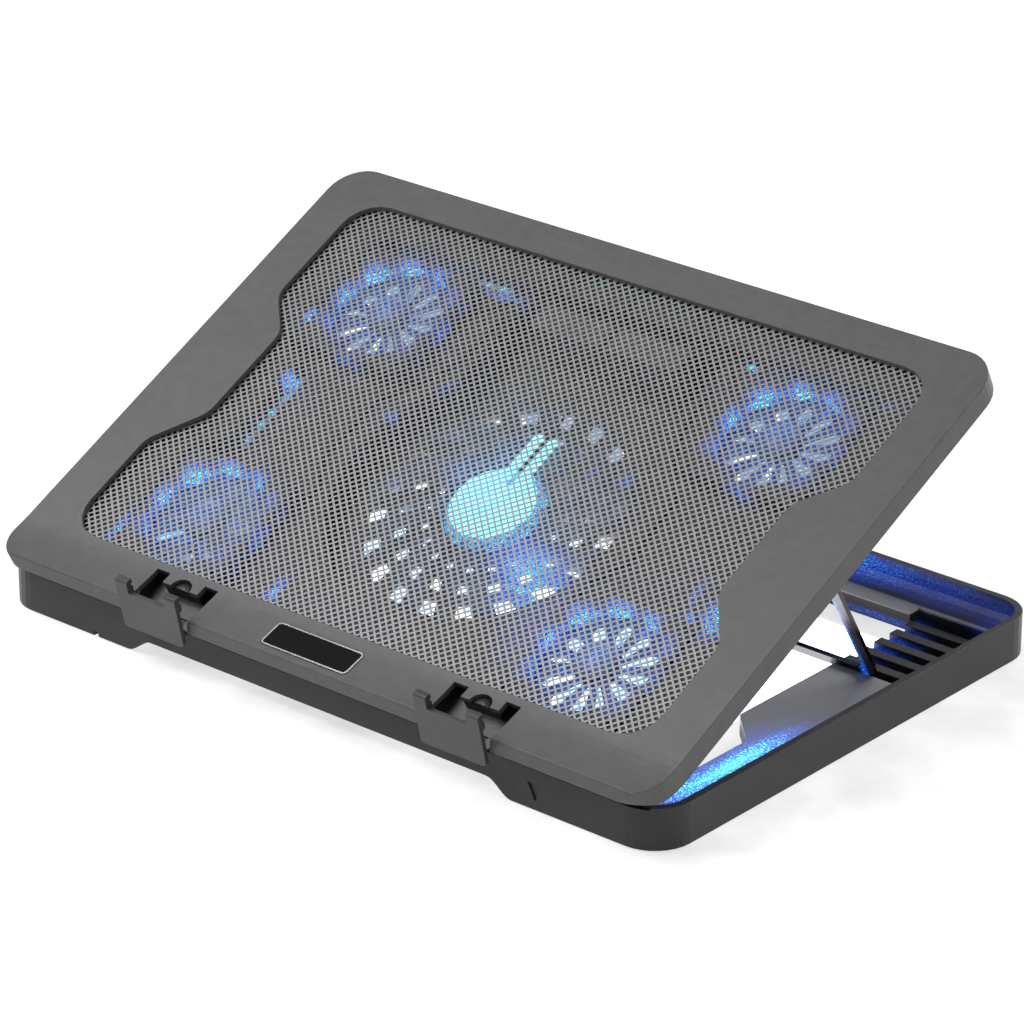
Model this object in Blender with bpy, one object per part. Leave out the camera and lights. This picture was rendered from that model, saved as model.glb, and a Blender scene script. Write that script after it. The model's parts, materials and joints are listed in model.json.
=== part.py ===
"""Laptop cooling pad: a tilting fan deck on a low frame, held up by a folding stand.

World frame: X to the right, Y to the rear, Z up, floor at Z = 0.  The pieces are drawn with the
frame's front edge at Y = 0 and are carried at the end so that the origin is under the middle of
the whole.  Everything on the deck is drawn with the deck closed (lying flat) and then swung up
about the deck hinge; "back" means the distance forward from the deck's rear edge and "up" the
height over the flat top of the deck.
"""
import math

import bmesh
import bpy
from mathutils import Matrix, Vector

MM = 0.001

# overall sizes
DECK_WIDTH = 375.0 * MM
DECK_DEPTH = 267.2 * MM
DECK_SKIRT = 10.4 * MM
DECK_CORNER = 17.7 * MM
BASE_MARGIN = 2.9 * MM
BASE_DEPTH = 263.5 * MM
BASE_HEIGHT = 19.8 * MM
BASE_CORNER = 18.6 * MM
DECK_TILT = math.radians(26.546)

# clearances
GAP = 0.3 * MM
SWING_GAP = 0.4 * MM

# deck hinge
HINGE_Y = 9.0 * MM
HINGE_Z = 9.0 * MM
HINGE_PIN_R = 1.5 * MM
HINGE_EYE_R = 4.0 * MM
HINGE_LUG_X = 167.4 * MM
HINGE_LUG_W = 8.0 * MM
HINGE_PIN_OVER = 4.8 * MM
HINGE_EAR_W = 3.4 * MM
CLOSED_GAP = 1.16 * MM

# frame of the base
WALL = 3.4 * MM
FLOOR_TOP = 9.0 * MM
FLOOR_SKIN = 2.5 * MM
FRAME_LIFT = 0.5 * MM
FRONT_WALL_TOP = 18.9 * MM
WINDOW_HALF_REAR = 143.1 * MM
WINDOW_HALF_FRONT = 160.6 * MM
WINDOW_FRONT = 40.0 * MM
WINDOW_REAR = 239.5 * MM
WINDOW_STEP_NEAR = 94.0 * MM
WINDOW_STEP_FAR = 111.0 * MM
ARCH_HALF_TOP = 97.0 * MM
ARCH_HALF_LOW = 111.0 * MM
ARCH_HEIGHT = 7.5 * MM
HINGE_WELL_FLOOR = 2.5 * MM
FOOT_PAD_R = 7.0 * MM
FOOT_PAD_T = 1.5 * MM

# racks of the base
RACK_HALF = 139.0 * MM
RACK_FRONT = 177.4 * MM
RACK_TOP = 5.6 * MM
RACK_GROOVE_FLOOR = 2.4 * MM
RACK_PITCH = 11.45 * MM
RACK_GROOVE = 6.0 * MM
RACK_FIRST_REAR = 189.0 * MM
RACK_GROOVES = 6

# shells of the deck
SKIN = 2.4 * MM
SIDE_SKIN = 2.6 * MM
LIP_START = 24.0 * MM
LIP_RISE = 2.4 * MM
MESH_T = 0.8 * MM
MESH_BORDER = 2.1 * MM
PAN_TOP = -6.2 * MM
PAN_T = 1.8 * MM
TRAY_SIDE_HALF = 147.0 * MM
TRAY_WAIST_HALF = 131.4 * MM
TRAY_REAR_BACK = 31.2 * MM
TRAY_FRONT_BACK = DECK_DEPTH - 29.8 * MM
WELL_FLOOR = -14.4 * MM
WELL_SKIN = 1.6 * MM
TUB_FLOOR = -28.0 * MM
TUB_SKIN = 2.0 * MM
POST_R = 3.4 * MM

# fans
FAN_X = 112.7 * MM
FAN_BACK_REAR = 68.5 * MM
FAN_BACK_FRONT = DECK_DEPTH - 62.5 * MM
FAN_SIDE = 64.0 * MM
FAN_TOP = -6.5 * MM
FAN_DUCT_R = FAN_SIDE / 2 - 2.8 * MM
FAN_ROTOR_R = FAN_DUCT_R - 1.4 * MM
FAN_HUB_R = 11.0 * MM
FAN_BLADES = 7
FAN_POST_R = 1.5 * MM
SLOT_COUNT = 12
SLOT_INNER = 8.0 * MM
SLOT_OUTER = FAN_DUCT_R - 3.7 * MM
SLOT_WIDTH = 6.6 * MM
MAIN_BACK = 139.0 * MM
TUB_R = 76.0 * MM
TUB_BAY_HALF = 57.0 * MM
TUB_BAY_REAR = 35.0 * MM
MAIN_ROTOR_R = 63.6 * MM
MAIN_HUB_R = 24.0 * MM
MAIN_BLADES = 9
AXLE_R = 3.0 * MM
CAP_TOP = -21.0 * MM
CAP_T = 1.5 * MM
CAP_R = 20.3 * MM
CAP_BAR_REACH = 42.0 * MM
CAP_BAR_W = 4.8 * MM
CAP_BAR_GAP = 3.6 * MM
RING_COUNT = 20
RINGS = ((33.5 * MM, 4.0 * MM, 4.4 * MM, -2.6), (45.0 * MM, 6.0 * MM, 6.4 * MM, -0.6),
         (57.7 * MM, 8.2 * MM, 9.2 * MM, 4.5))

# folding stand
STAND_REST = math.radians(85.546)
STAND_PIVOT_BACK = 114.4 * MM
STAND_PIVOT_UP = -9.4 * MM
STAND_REACH = 91.1 * MM
STAND_HALF = 165.8 * MM
STAND_ARM_W = 5.8 * MM
STAND_BAR_W = 5.6 * MM
STAND_T = 2.0 * MM
STAND_EYE_R = 2.6 * MM
STAND_PIN_R = 1.3 * MM
STAND_LUG_W = 3.9 * MM

# flip-up stoppers
STOPPER_X = 86.4 * MM
STOPPER_REST = math.radians(76.5)
STOPPER_W = 35.8 * MM
STOPPER_AXIS_BACK = DECK_DEPTH - 0.8 * MM
STOPPER_AXIS_UP = -6.3 * MM
STOPPER_FACE = 4.6 * MM
STOPPER_T = 2.0 * MM
STOPPER_LOW = 2.7 * MM
STOPPER_HIGH = 16.6 * MM
STOPPER_HORN_H = 5.8 * MM
STOPPER_HORN_W = 7.0 * MM
STOPPER_HORN_D = 3.6 * MM
STOPPER_EYE_R = 2.3 * MM
STOPPER_PIN_R = 1.0 * MM
TRAY_FLOOR = -6.6 * MM
TRAY_T = 1.2 * MM
NOTCH_REAR_BACK = DECK_DEPTH - 23.8 * MM
NOTCH_TAB_BACK = DECK_DEPTH - 18.0 * MM
NOTCH_TAB_HALF = 10.4 * MM
SCOOP_R = 5.6 * MM

# nameplate
PLATE_X = -4.0 * MM
PLATE_BACK = DECK_DEPTH - 13.6 * MM
PLATE_W = 47.4 * MM
PLATE_D = 12.4 * MM
PLATE_T = 0.8 * MM
BEZEL_W = 0.9 * MM

# electronics along the rear edge
BOX_HALF = 44.0 * MM
BOX_BACK = 21.0 * MM
BOX_FLOOR = -9.2 * MM
BOX_SKIN = 1.2 * MM
BOARD_TOP = -7.9 * MM
BOARD_T = 1.0 * MM
PORT_W = 13.2 * MM
PORT_H = 5.7 * MM
PORT_LEN = 13.6 * MM
PORT_XS = (-26.0 * MM, -6.0 * MM)
DIAL_X = 24.0 * MM
DIAL_R = 8.0 * MM
DIAL_T = 2.6 * MM
DIAL_BACK = 6.4 * MM
CONTROL_HALF = 42.5 * MM
CONTROL_REAR = 37.0 * MM
CONTROL_FRONT = 51.0 * MM
CONTROL_TOP = -9.2 * MM
WIRE_R = 0.7 * MM
LED_W = 3.0 * MM
LED_T = 1.2 * MM

# figures that follow from the ones above
DECK_HALF = DECK_WIDTH / 2
BASE_HALF = DECK_HALF + BASE_MARGIN
CLOSED_TOP = BASE_HEIGHT + CLOSED_GAP + DECK_SKIRT
LIP_BACK = DECK_DEPTH - 2.5 * MM
PLANE_FOOT = DECK_DEPTH - 7.4 * MM
COVER_Z = CLOSED_TOP
MESH_TOP = -SKIN - GAP
PAN_LOW = PAN_TOP - PAN_T
HINGE = Vector((0.0, HINGE_Y, HINGE_Z))
INNER_WALL = BASE_HALF - WALL


def flat_y(back):
    """World Y, on the closed deck, of a place given by its distance from the rear edge."""
    return HINGE_Y + PLANE_FOOT - back


def flat_z(up):
    """World Z, on the closed deck, of a height over its flat top."""
    return COVER_Z + up


# ---------------------------------------------------------------- mesh helpers

for old in list(bpy.data.objects):
    bpy.data.objects.remove(old, do_unlink=True)

SWATCHES = {
    "deck_plastic": ((0.115, 0.115, 0.118), 0.48, 0.0),
    "base_plastic": ((0.105, 0.105, 0.108), 0.50, 0.0),
    "pan_plastic": ((0.070, 0.070, 0.073), 0.50, 0.0),
    "cover_grey": ((0.110, 0.110, 0.113), 0.45, 0.0),
    "mesh_steel": ((0.40, 0.40, 0.41), 0.40, 0.85),
    "plate_black": ((0.006, 0.006, 0.007), 0.08, 0.0),
    "bezel_silver": ((0.55, 0.55, 0.56), 0.30, 0.90),
    "fan_frame_blue": ((0.030, 0.090, 0.420), 0.35, 0.0),
    "rotor_blue": ((0.050, 0.200, 0.750), 0.20, 0.0),
    "rotor_clear": ((0.550, 0.720, 0.900), 0.10, 0.0),
    "cap_cyan": ((0.150, 0.750, 0.950), 0.30, 0.0),
    "axle_steel": ((0.60, 0.60, 0.61), 0.30, 1.0),
    "stand_steel": ((0.130, 0.130, 0.140), 0.28, 0.90),
    "pin_steel": ((0.50, 0.50, 0.51), 0.35, 1.0),
    "stopper_plastic": ((0.085, 0.085, 0.088), 0.45, 0.0),
    "tray_plastic": ((0.012, 0.012, 0.013), 0.60, 0.0),
    "pad_rubber": ((0.020, 0.020, 0.020), 0.85, 0.0),
    "board_green": ((0.015, 0.140, 0.060), 0.45, 0.0),
    "port_steel": ((0.65, 0.65, 0.66), 0.28, 1.0),
    "pot_black": ((0.020, 0.020, 0.022), 0.40, 0.0),
    "dial_plastic": ((0.030, 0.030, 0.032), 0.40, 0.0),
    "wire_black": ((0.015, 0.015, 0.016), 0.50, 0.0),
    "led_blue": ((0.100, 0.350, 1.000), 0.25, 0.0),
    "screw_steel": ((0.35, 0.35, 0.36), 0.35, 1.0),
}
MATERIALS = {}


def material(key):
    """The Principled material of a swatch, made once."""
    if key not in MATERIALS:
        colour, rough, metal = SWATCHES[key]
        made = bpy.data.materials.new(key)
        made.use_nodes = True
        shader = made.node_tree.nodes["Principled BSDF"]
        shader.inputs["Base Color"].default_value = (*colour, 1.0)
        shader.inputs["Roughness"].default_value = rough
        shader.inputs["Metallic"].default_value = metal
        made.diffuse_color = (*colour, 1.0)
        MATERIALS[key] = made
    return MATERIALS[key]


def finish_mesh(bm, name):
    """Turn a bmesh into a linked object with outward normals."""
    bmesh.ops.recalc_face_normals(bm, faces=bm.faces)
    mesh = bpy.data.meshes.new(name)
    bm.to_mesh(mesh)
    bm.free()
    obj = bpy.data.objects.new(name, mesh)
    bpy.context.scene.collection.objects.link(obj)
    return obj


def place(axis, a, b, along):
    """A 3-D point from two outline coordinates and a place along the extrusion axis."""
    if axis == "X":
        return (along, a, b)
    if axis == "Y":
        return (a, along, b)
    return (a, b, along)


def prism(name, outline, axis, low, high):
    """A closed prism: a flat outline drawn across `axis` and carried from low to high."""
    bm = bmesh.new()
    ends = [[bm.verts.new(place(axis, a, b, along)) for a, b in outline] for along in (low, high)]
    bm.faces.new(ends[0])
    bm.faces.new(ends[1])
    count = len(outline)
    for i in range(count):
        j = (i + 1) % count
        bm.faces.new((ends[0][i], ends[0][j], ends[1][j], ends[1][i]))
    return finish_mesh(bm, name)


def box(name, x, y, z):
    """A box from three (low, high) pairs."""
    outline = ((x[0], y[0]), (x[1], y[0]), (x[1], y[1]), (x[0], y[1]))
    return prism(name, outline, "Z", z[0], z[1])


def circle(a, b, radius, count=32, start=0.0):
    """Points around a circle."""
    steps = (start + 2 * math.pi * i / count for i in range(count))
    return [(a + radius * math.cos(t), b + radius * math.sin(t)) for t in steps]


def fillet(corners, steps=6):
    """Round each (a, b, radius) corner of an outline."""
    points = []
    count = len(corners)
    for i, (a, b, radius) in enumerate(corners):
        here = Vector((a, b))
        before = (Vector(corners[i - 1][:2]) - here).normalized()
        after = (Vector(corners[(i + 1) % count][:2]) - here).normalized()
        if radius <= 0:
            points.append((a, b))
            continue
        half = before.angle(after) / 2
        centre = here + (before + after).normalized() * (radius / math.sin(half))
        reach = radius / math.tan(half)
        first = here + before * reach - centre
        last = here + after * reach - centre
        turn = first.angle_signed(last)
        for k in range(steps + 1):
            spoke = first.copy()
            spoke.rotate(Matrix.Rotation(-turn * k / steps, 2))
            points.append(tuple(centre + spoke))
    return points


def rounded_rect(x, y, radius, steps=6):
    """A rounded rectangle from two (low, high) pairs."""
    return fillet([(x[0], y[0], radius), (x[1], y[0], radius), (x[1], y[1], radius),
                   (x[0], y[1], radius)], steps)


def rod(name, x, y, z, radius, count=20):
    """A round bar along X."""
    return prism(name, circle(y, z, radius, count), "X", x[0], x[1])


def disc(name, x, y, z, radius, count=40):
    """A round bar along Z."""
    return prism(name, circle(x, y, radius, count), "Z", z[0], z[1])


def lathe(name, centre, profile, count=40):
    """A ring or cup: a closed (radius, z) profile turned about a vertical axis."""
    bm = bmesh.new()
    rings = []
    for i in range(count):
        t = 2 * math.pi * i / count
        rings.append([bm.verts.new((centre[0] + r * math.cos(t), centre[1] + r * math.sin(t), z))
                      for r, z in profile])
    size = len(profile)
    for i in range(count):
        j = (i + 1) % count
        for k in range(size):
            m = (k + 1) % size
            bm.faces.new((rings[i][k], rings[j][k], rings[j][m], rings[i][m]))
    bmesh.ops.remove_doubles(bm, verts=bm.verts, dist=1e-7)
    return finish_mesh(bm, name)


def tube(name, points, radius, sides=6):
    """A thin round wire along a run of points."""
    path = [Vector(p) for p in points]
    bm = bmesh.new()
    rings = []
    for i, here in enumerate(path):
        ahead = (path[min(i + 1, len(path) - 1)] - here)
        behind = (here - path[max(i - 1, 0)])
        way = (ahead.normalized() + behind.normalized()).normalized()
        side = way.cross(Vector((0, 0, 1)))
        if side.length < 0.2:
            side = way.cross(Vector((1, 0, 0)))
        side.normalize()
        rise = side.cross(way)
        rings.append([bm.verts.new(here + radius * (math.cos(t) * side + math.sin(t) * rise))
                      for t in (2 * math.pi * k / sides for k in range(sides))])
    for a, b in zip(rings, rings[1:]):
        for k in range(sides):
            m = (k + 1) % sides
            bm.faces.new((a[k], a[m], b[m], b[k]))
    bm.faces.new(rings[0])
    bm.faces.new(rings[-1])
    return finish_mesh(bm, name)


def joined(name, pieces):
    """One mesh from several separate ones, kept apart inside it."""
    bm = bmesh.new()
    for piece in pieces:
        bm.from_mesh(piece.data)
        bpy.data.objects.remove(piece, do_unlink=True)
    return finish_mesh(bm, name)


def combine(target, tool, operation):
    """Cut, add or keep the shared part, and drop the tool."""
    step = target.modifiers.new(operation, "BOOLEAN")
    step.operation = operation
    step.solver = "EXACT"
    step.object = tool
    graph = bpy.context.evaluated_depsgraph_get()
    result = bpy.data.meshes.new_from_object(target.evaluated_get(graph))
    target.modifiers.clear()
    target.data = result
    bpy.data.objects.remove(tool, do_unlink=True)
    return target


def cut(target, *tools):
    """Take tools that don't touch one another out of a piece, in one step."""
    tool = tools[0] if len(tools) == 1 else joined("cutters", tools)
    return combine(target, tool, "DIFFERENCE")


def add(target, *tools):
    """Merge tools into a piece one after another."""
    for tool in tools:
        combine(target, tool, "UNION")
    return target


def dress(obj, name, key, smooth=None):
    """Name a finished piece, give it its material and its shading."""
    obj.name = name
    obj.data.name = name
    obj.data.materials.clear()
    obj.data.materials.append(material(key))
    for face in obj.data.polygons:
        face.material_index = 0
        face.use_smooth = smooth is not None
    if smooth is not None:
        obj.data.set_sharp_from_angle(angle=math.radians(smooth))
    return obj


def turn(objects, pivot, angle):
    """Swing finished pieces about an axis along X through a pivot."""
    move = (Matrix.Translation(pivot) @ Matrix.Rotation(angle, 4, "X")
            @ Matrix.Translation(-pivot))
    for obj in objects:
        obj.data.transform(move)


def hang(obj, pivot):
    """Put a piece's origin on its joint axis without moving the piece."""
    obj.data.transform(Matrix.Translation(-pivot))
    obj.location = pivot


# ---------------------------------------------------------------- base

def make_base():
    """The low frame: walls, floor of the rails, window, racks, hinge ears and arch."""
    x_all = (-BASE_HALF, BASE_HALF)
    outer = rounded_rect(x_all, (0.0, BASE_DEPTH), BASE_CORNER, 8)
    frame = prism("frame", outer, "Z", FRAME_LIFT, BASE_HEIGHT)
    inner_corner = BASE_CORNER - WALL
    hall = rounded_rect((-INNER_WALL, INNER_WALL), (WALL, BASE_DEPTH - WALL), inner_corner, 8)
    cut(frame, prism("hall", hall, "Z", FLOOR_TOP, 2 * BASE_HEIGHT))
    lead = BASE_CORNER * 0.45
    cut(frame, box("lower_front", (-BASE_HALF + lead, BASE_HALF - lead), (-WALL, WALL + GAP),
                   (FRONT_WALL_TOP, 2 * BASE_HEIGHT)))
    cove = [(WINDOW_REAR + 2.0 * MM, FLOOR_TOP - GAP), (WINDOW_REAR + 2.5 * MM, FLOOR_TOP)]
    cove_run = BASE_DEPTH - WALL - WINDOW_REAR - 2.5 * MM
    for k in range(1, 7):
        t = math.pi / 2 * k / 6
        cove.append((WINDOW_REAR + 2.5 * MM + cove_run * math.sin(t),
                     FLOOR_TOP + (BASE_HEIGHT - 1.0 * MM - FLOOR_TOP) * (1 - math.cos(t))))
    cove.append((BASE_DEPTH - WALL + 1.0 * MM, BASE_HEIGHT - 1.0 * MM))
    cove.append((BASE_DEPTH - WALL + 1.0 * MM, FLOOR_TOP - GAP))
    ramp = prism("ramp", cove, "X", -INNER_WALL - 1.0 * MM, INNER_WALL + 1.0 * MM)
    keep = prism("keep", outer, "Z", 0.0, BASE_HEIGHT)
    add(frame, combine(ramp, keep, "INTERSECT"))
    window = []
    for side in (1, -1):
        run = [(side * WINDOW_HALF_FRONT, WINDOW_FRONT, 6.0 * MM),
               (side * WINDOW_HALF_FRONT, WINDOW_STEP_NEAR, 5.0 * MM),
               (side * WINDOW_HALF_REAR, WINDOW_STEP_FAR, 5.0 * MM),
               (side * WINDOW_HALF_REAR, RACK_FRONT, 0.0),
               (side * RACK_HALF, RACK_FRONT, 0.0),
               (side * RACK_HALF, WINDOW_REAR, 0.0)]
        window += run if side > 0 else run[::-1]
    cut(frame, prism("window", fillet(window, 4), "Z", -BASE_HEIGHT, 2 * BASE_HEIGHT))
    rack_rear = RACK_FIRST_REAR + RACK_PITCH * (RACK_GROOVES - 1)
    for side in (1, -1):
        reach = sorted((side * (RACK_HALF - 1.0 * MM), side * INNER_WALL))
        cut(frame, box("rack_step", reach, (RACK_FRONT, rack_rear),
                       (RACK_TOP, FLOOR_TOP + 1.0 * MM)))
        grooves = [box("groove", reach, (RACK_FRONT, RACK_FIRST_REAR),
                       (RACK_GROOVE_FLOOR, RACK_TOP + 1.0 * MM))]
        for k in range(1, RACK_GROOVES):
            rear = RACK_FIRST_REAR + RACK_PITCH * k
            grooves.append(box("groove", reach, (rear - RACK_GROOVE, rear),
                               (RACK_GROOVE_FLOOR, RACK_TOP + 1.0 * MM)))
        cut(frame, *grooves)
    arch = [(ARCH_HALF_LOW, -BASE_HEIGHT), (ARCH_HALF_LOW, 0.0)]
    for k in range(9):
        t = k / 8
        ease = (1 - math.cos(math.pi * t)) / 2
        arch.append((ARCH_HALF_LOW + (ARCH_HALF_TOP - ARCH_HALF_LOW) * t,
                     FRAME_LIFT + (ARCH_HEIGHT - FRAME_LIFT) * ease))
    arch += [(-a, b) for a, b in arch[::-1]]
    cut(frame, prism("arch", arch, "Y", -WALL, WINDOW_FRONT + WALL))
    mark = ((119.6 * MM, 12.6 * MM), (127.6 * MM, 12.6 * MM), (123.8 * MM, 4.4 * MM))
    cut(frame, prism("mark", mark, "Y", -WALL, 0.9 * MM))
    cut(frame, box("nick", (-132.0 * MM, -129.4 * MM), (-WALL, 2.0 * MM), (-WALL, 2.6 * MM)))
    under_top = FLOOR_TOP - FLOOR_SKIN
    for side in (1, -1):
        hollow = [(side * (WINDOW_HALF_FRONT + 2.4 * MM), 46.0 * MM, 0.0),
                  (side * (INNER_WALL - GAP), 46.0 * MM, 0.0),
                  (side * (INNER_WALL - GAP), 172.0 * MM, 0.0),
                  (side * (WINDOW_HALF_REAR + 2.4 * MM), 172.0 * MM, 0.0),
                  (side * (WINDOW_HALF_REAR + 2.4 * MM), WINDOW_STEP_FAR + 2.0 * MM, 0.0),
                  (side * (WINDOW_HALF_FRONT + 2.4 * MM), WINDOW_STEP_NEAR, 0.0)]
        cut(frame, prism("rail_hollow", fillet(hollow, 1), "Z", -WALL, under_top))
    cut(frame, box("beam_hollow", (-132.0 * MM, 132.0 * MM),
                   (WINDOW_REAR + 2.4 * MM, BASE_DEPTH - WALL), (-WALL, under_top)))
    well_inset = WALL + 0.6 * MM
    well_room = rounded_rect((well_inset - BASE_HALF, BASE_HALF - well_inset),
                             (well_inset, BASE_DEPTH - well_inset), BASE_CORNER - well_inset, 8)
    for side in (1, -1):
        well_x = sorted((side * (HINGE_LUG_X - HINGE_EAR_W - 2.4 * MM), side * INNER_WALL))
        dug = box("hinge_well", well_x, (WALL / 2, 24.0 * MM),
                  (HINGE_WELL_FLOOR, FLOOR_TOP + 1.0 * MM))
        cut(frame, combine(dug, prism("well_room", well_room, "Z", 0.0, BASE_HEIGHT),
                           "INTERSECT"))
        for ear_x in (HINGE_LUG_X - HINGE_EAR_W - SWING_GAP, HINGE_LUG_X + HINGE_LUG_W + SWING_GAP):
            low, high = sorted((side * ear_x, side * (ear_x + HINGE_EAR_W)))
            outline = circle(HINGE_Y, HINGE_Z, HINGE_EYE_R, 16)
            ear = prism("ear", outline, "X", low, high)
            stem = box("stem", (low, high), (HINGE_Y - HINGE_EYE_R, HINGE_Y + HINGE_EYE_R),
                       (HINGE_WELL_FLOOR - 1.0 * MM, HINGE_Z))
            add(frame, add(ear, stem))
        over = HINGE_PIN_OVER + MM
        bore_x = sorted((side * (HINGE_LUG_X - over), side * (HINGE_LUG_X + HINGE_LUG_W + over)))
        cut(frame, rod("bore", bore_x, HINGE_Y, HINGE_Z, HINGE_PIN_R + GAP, 12))
    pads = pad_places()
    cut(frame, *[disc("pad_seat", x, y, (-WALL, FOOT_PAD_T + GAP), FOOT_PAD_R + GAP, 20)
                 for _, x, y in pads])
    dress(frame, "base_frame", "base_plastic", 30)
    for name, x, y in pads:
        pad = lathe(name, (x, y), ((0.0, 0.0), (FOOT_PAD_R - 0.5 * MM, 0.0),
                                   (FOOT_PAD_R, 0.5 * MM), (FOOT_PAD_R, FOOT_PAD_T),
                                   (0.0, FOOT_PAD_T)), 20)
        dress(pad, name, "pad_rubber", 40)
    for side, word in ((-1, "left"), (1, "right")):
        ends = sorted((side * (HINGE_LUG_X - HINGE_PIN_OVER),
                       side * (HINGE_LUG_X + HINGE_LUG_W + HINGE_PIN_OVER)))
        dress(rod("pin", ends, HINGE_Y, HINGE_Z, HINGE_PIN_R), "hinge_pin_" + word, "pin_steel", 40)


def pad_places():
    """Name and place of each rubber foot."""
    near = 17.0 * MM
    reach = BASE_HALF - 16.0 * MM
    return [("foot_pad_front_left", -reach, near), ("foot_pad_front_right", reach, near),
            ("foot_pad_rear_left", -reach, BASE_DEPTH - near),
            ("foot_pad_rear_right", reach, BASE_DEPTH - near)]


# ---------------------------------------------------------------- deck shells

def opening_outline(grow=0.0):
    """The waisted outline of the mesh opening, optionally grown all round."""
    corners = []
    for side in (1, -1):
        run = [(164.8 * MM, DECK_DEPTH - 27.8 * MM, 17.0 * MM),
               (164.8 * MM, DECK_DEPTH - 85.2 * MM, 14.0 * MM),
               (146.6 * MM, DECK_DEPTH - 109.2 * MM, 14.0 * MM), (146.6 * MM, 104.0 * MM, 14.0 * MM),
               (164.8 * MM, 84.0 * MM, 14.0 * MM), (164.8 * MM, 17.8 * MM, 17.0 * MM)]
        if side < 0:
            run = run[::-1]
        for k, (x, back, radius) in enumerate(run):
            edge = back + (grow if back > MAIN_BACK else -grow)
            if radius < 16.0 * MM:
                edge = back
            corners.append((side * (x + grow), flat_y(edge), radius))
    return fillet(corners, 5)


def lip_up(y):
    """Height of the front lip's surface over the flat deck at world Y on the closed deck."""
    front = flat_y(LIP_BACK)
    start = front + LIP_START
    if y >= start:
        return 0.0
    t = (start - y) / LIP_START
    return LIP_RISE * (t * t * (1.6 - 0.6 * t))


def cover_section(inset):
    """The deck cover's side profile as (y, z); inset shrinks it to the hollow inside."""
    rear = flat_y(0.0) - inset * SIDE_SKIN / SKIN
    front_top = flat_y(LIP_BACK)
    front_low = flat_y(DECK_DEPTH)
    drop = inset
    top = [(rear, flat_z(-drop)), (front_top + LIP_START, flat_z(-drop))]
    for k in range(1, 6):
        y = front_top + LIP_START * (1 - k / 6)
        top.append((y, flat_z(lip_up(y) - drop)))
    if inset:
        top.append((front_top + 1.6 * inset, flat_z(lip_up(front_top) - 1.2 * drop)))
        low = [(front_low + 2.2 * inset, flat_z(-3.4 * MM)), (12.0 * MM, flat_z(-12.0 * MM)),
               (rear, flat_z(-12.0 * MM))]
        return top + low
    top.append((front_top + 1.0 * MM, flat_z(LIP_RISE - 0.1 * MM)))
    top.append((front_top, flat_z(LIP_RISE - 0.8 * MM)))
    low = [(front_low, flat_z(-2.6 * MM)), (front_low + 0.8 * MM, flat_z(-3.4 * MM)),
           (10.0 * MM, flat_z(-8.2 * MM)), (24.0 * MM, flat_z(-DECK_SKIRT)),
           (rear, flat_z(-DECK_SKIRT))]
    return top + low


def notch_outline(side):
    """Plan of the gap in the front strip that a stopper folds into."""
    middle = side * STOPPER_X
    half = STOPPER_W / 2 + SWING_GAP
    rear = flat_y(NOTCH_REAR_BACK)
    tab = flat_y(NOTCH_TAB_BACK)
    front = flat_y(DECK_DEPTH) - 6.0 * MM
    scoop = [(middle + SCOOP_R * math.cos(math.pi * k / 10),
              tab + SCOOP_R * math.sin(math.pi * k / 10)) for k in range(11)]
    return [(middle - half, front), (middle + half, front), (middle + half, rear),
            (middle + NOTCH_TAB_HALF, rear), (middle + NOTCH_TAB_HALF, tab), *scoop,
            (middle - NOTCH_TAB_HALF, tab), (middle - NOTCH_TAB_HALF, rear),
            (middle - half, rear)]


def screw_places():
    """Name and place of each screw that holds the pan to the cover."""
    side = 178.0 * MM
    places = []
    for word, x in (("left", -side), ("right", side)):
        for where, back in (("rear", 18.0 * MM), ("front", DECK_DEPTH - 35.2 * MM)):
            places.append(("cover_screw_" + where + "_" + word, x, flat_y(back)))
    return places


def lip_slope():
    """Angle of the front strip under the nameplate, in the deck's own frame."""
    y = flat_y(PLATE_BACK)
    step = 2.0 * MM
    return math.atan2(lip_up(y - step) - lip_up(y + step), 2 * step)


def on_strip(outline, low, high, name):
    """A plate lying on the front strip around the nameplate's place."""
    made = prism(name, outline, "Z", low, high)
    y = flat_y(PLATE_BACK)
    seat = Vector((PLATE_X, y, flat_z(lip_up(y))))
    made.data.transform(Matrix.Translation(seat) @ Matrix.Rotation(-lip_slope(), 4, "X"))
    return made


def plate_outline(grow):
    """The nameplate's outline, optionally grown."""
    x = PLATE_W / 2 + grow
    y = PLATE_D / 2 + grow
    return rounded_rect((-x, x), (-y, y), 1.4 * MM + grow, 4)


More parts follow.
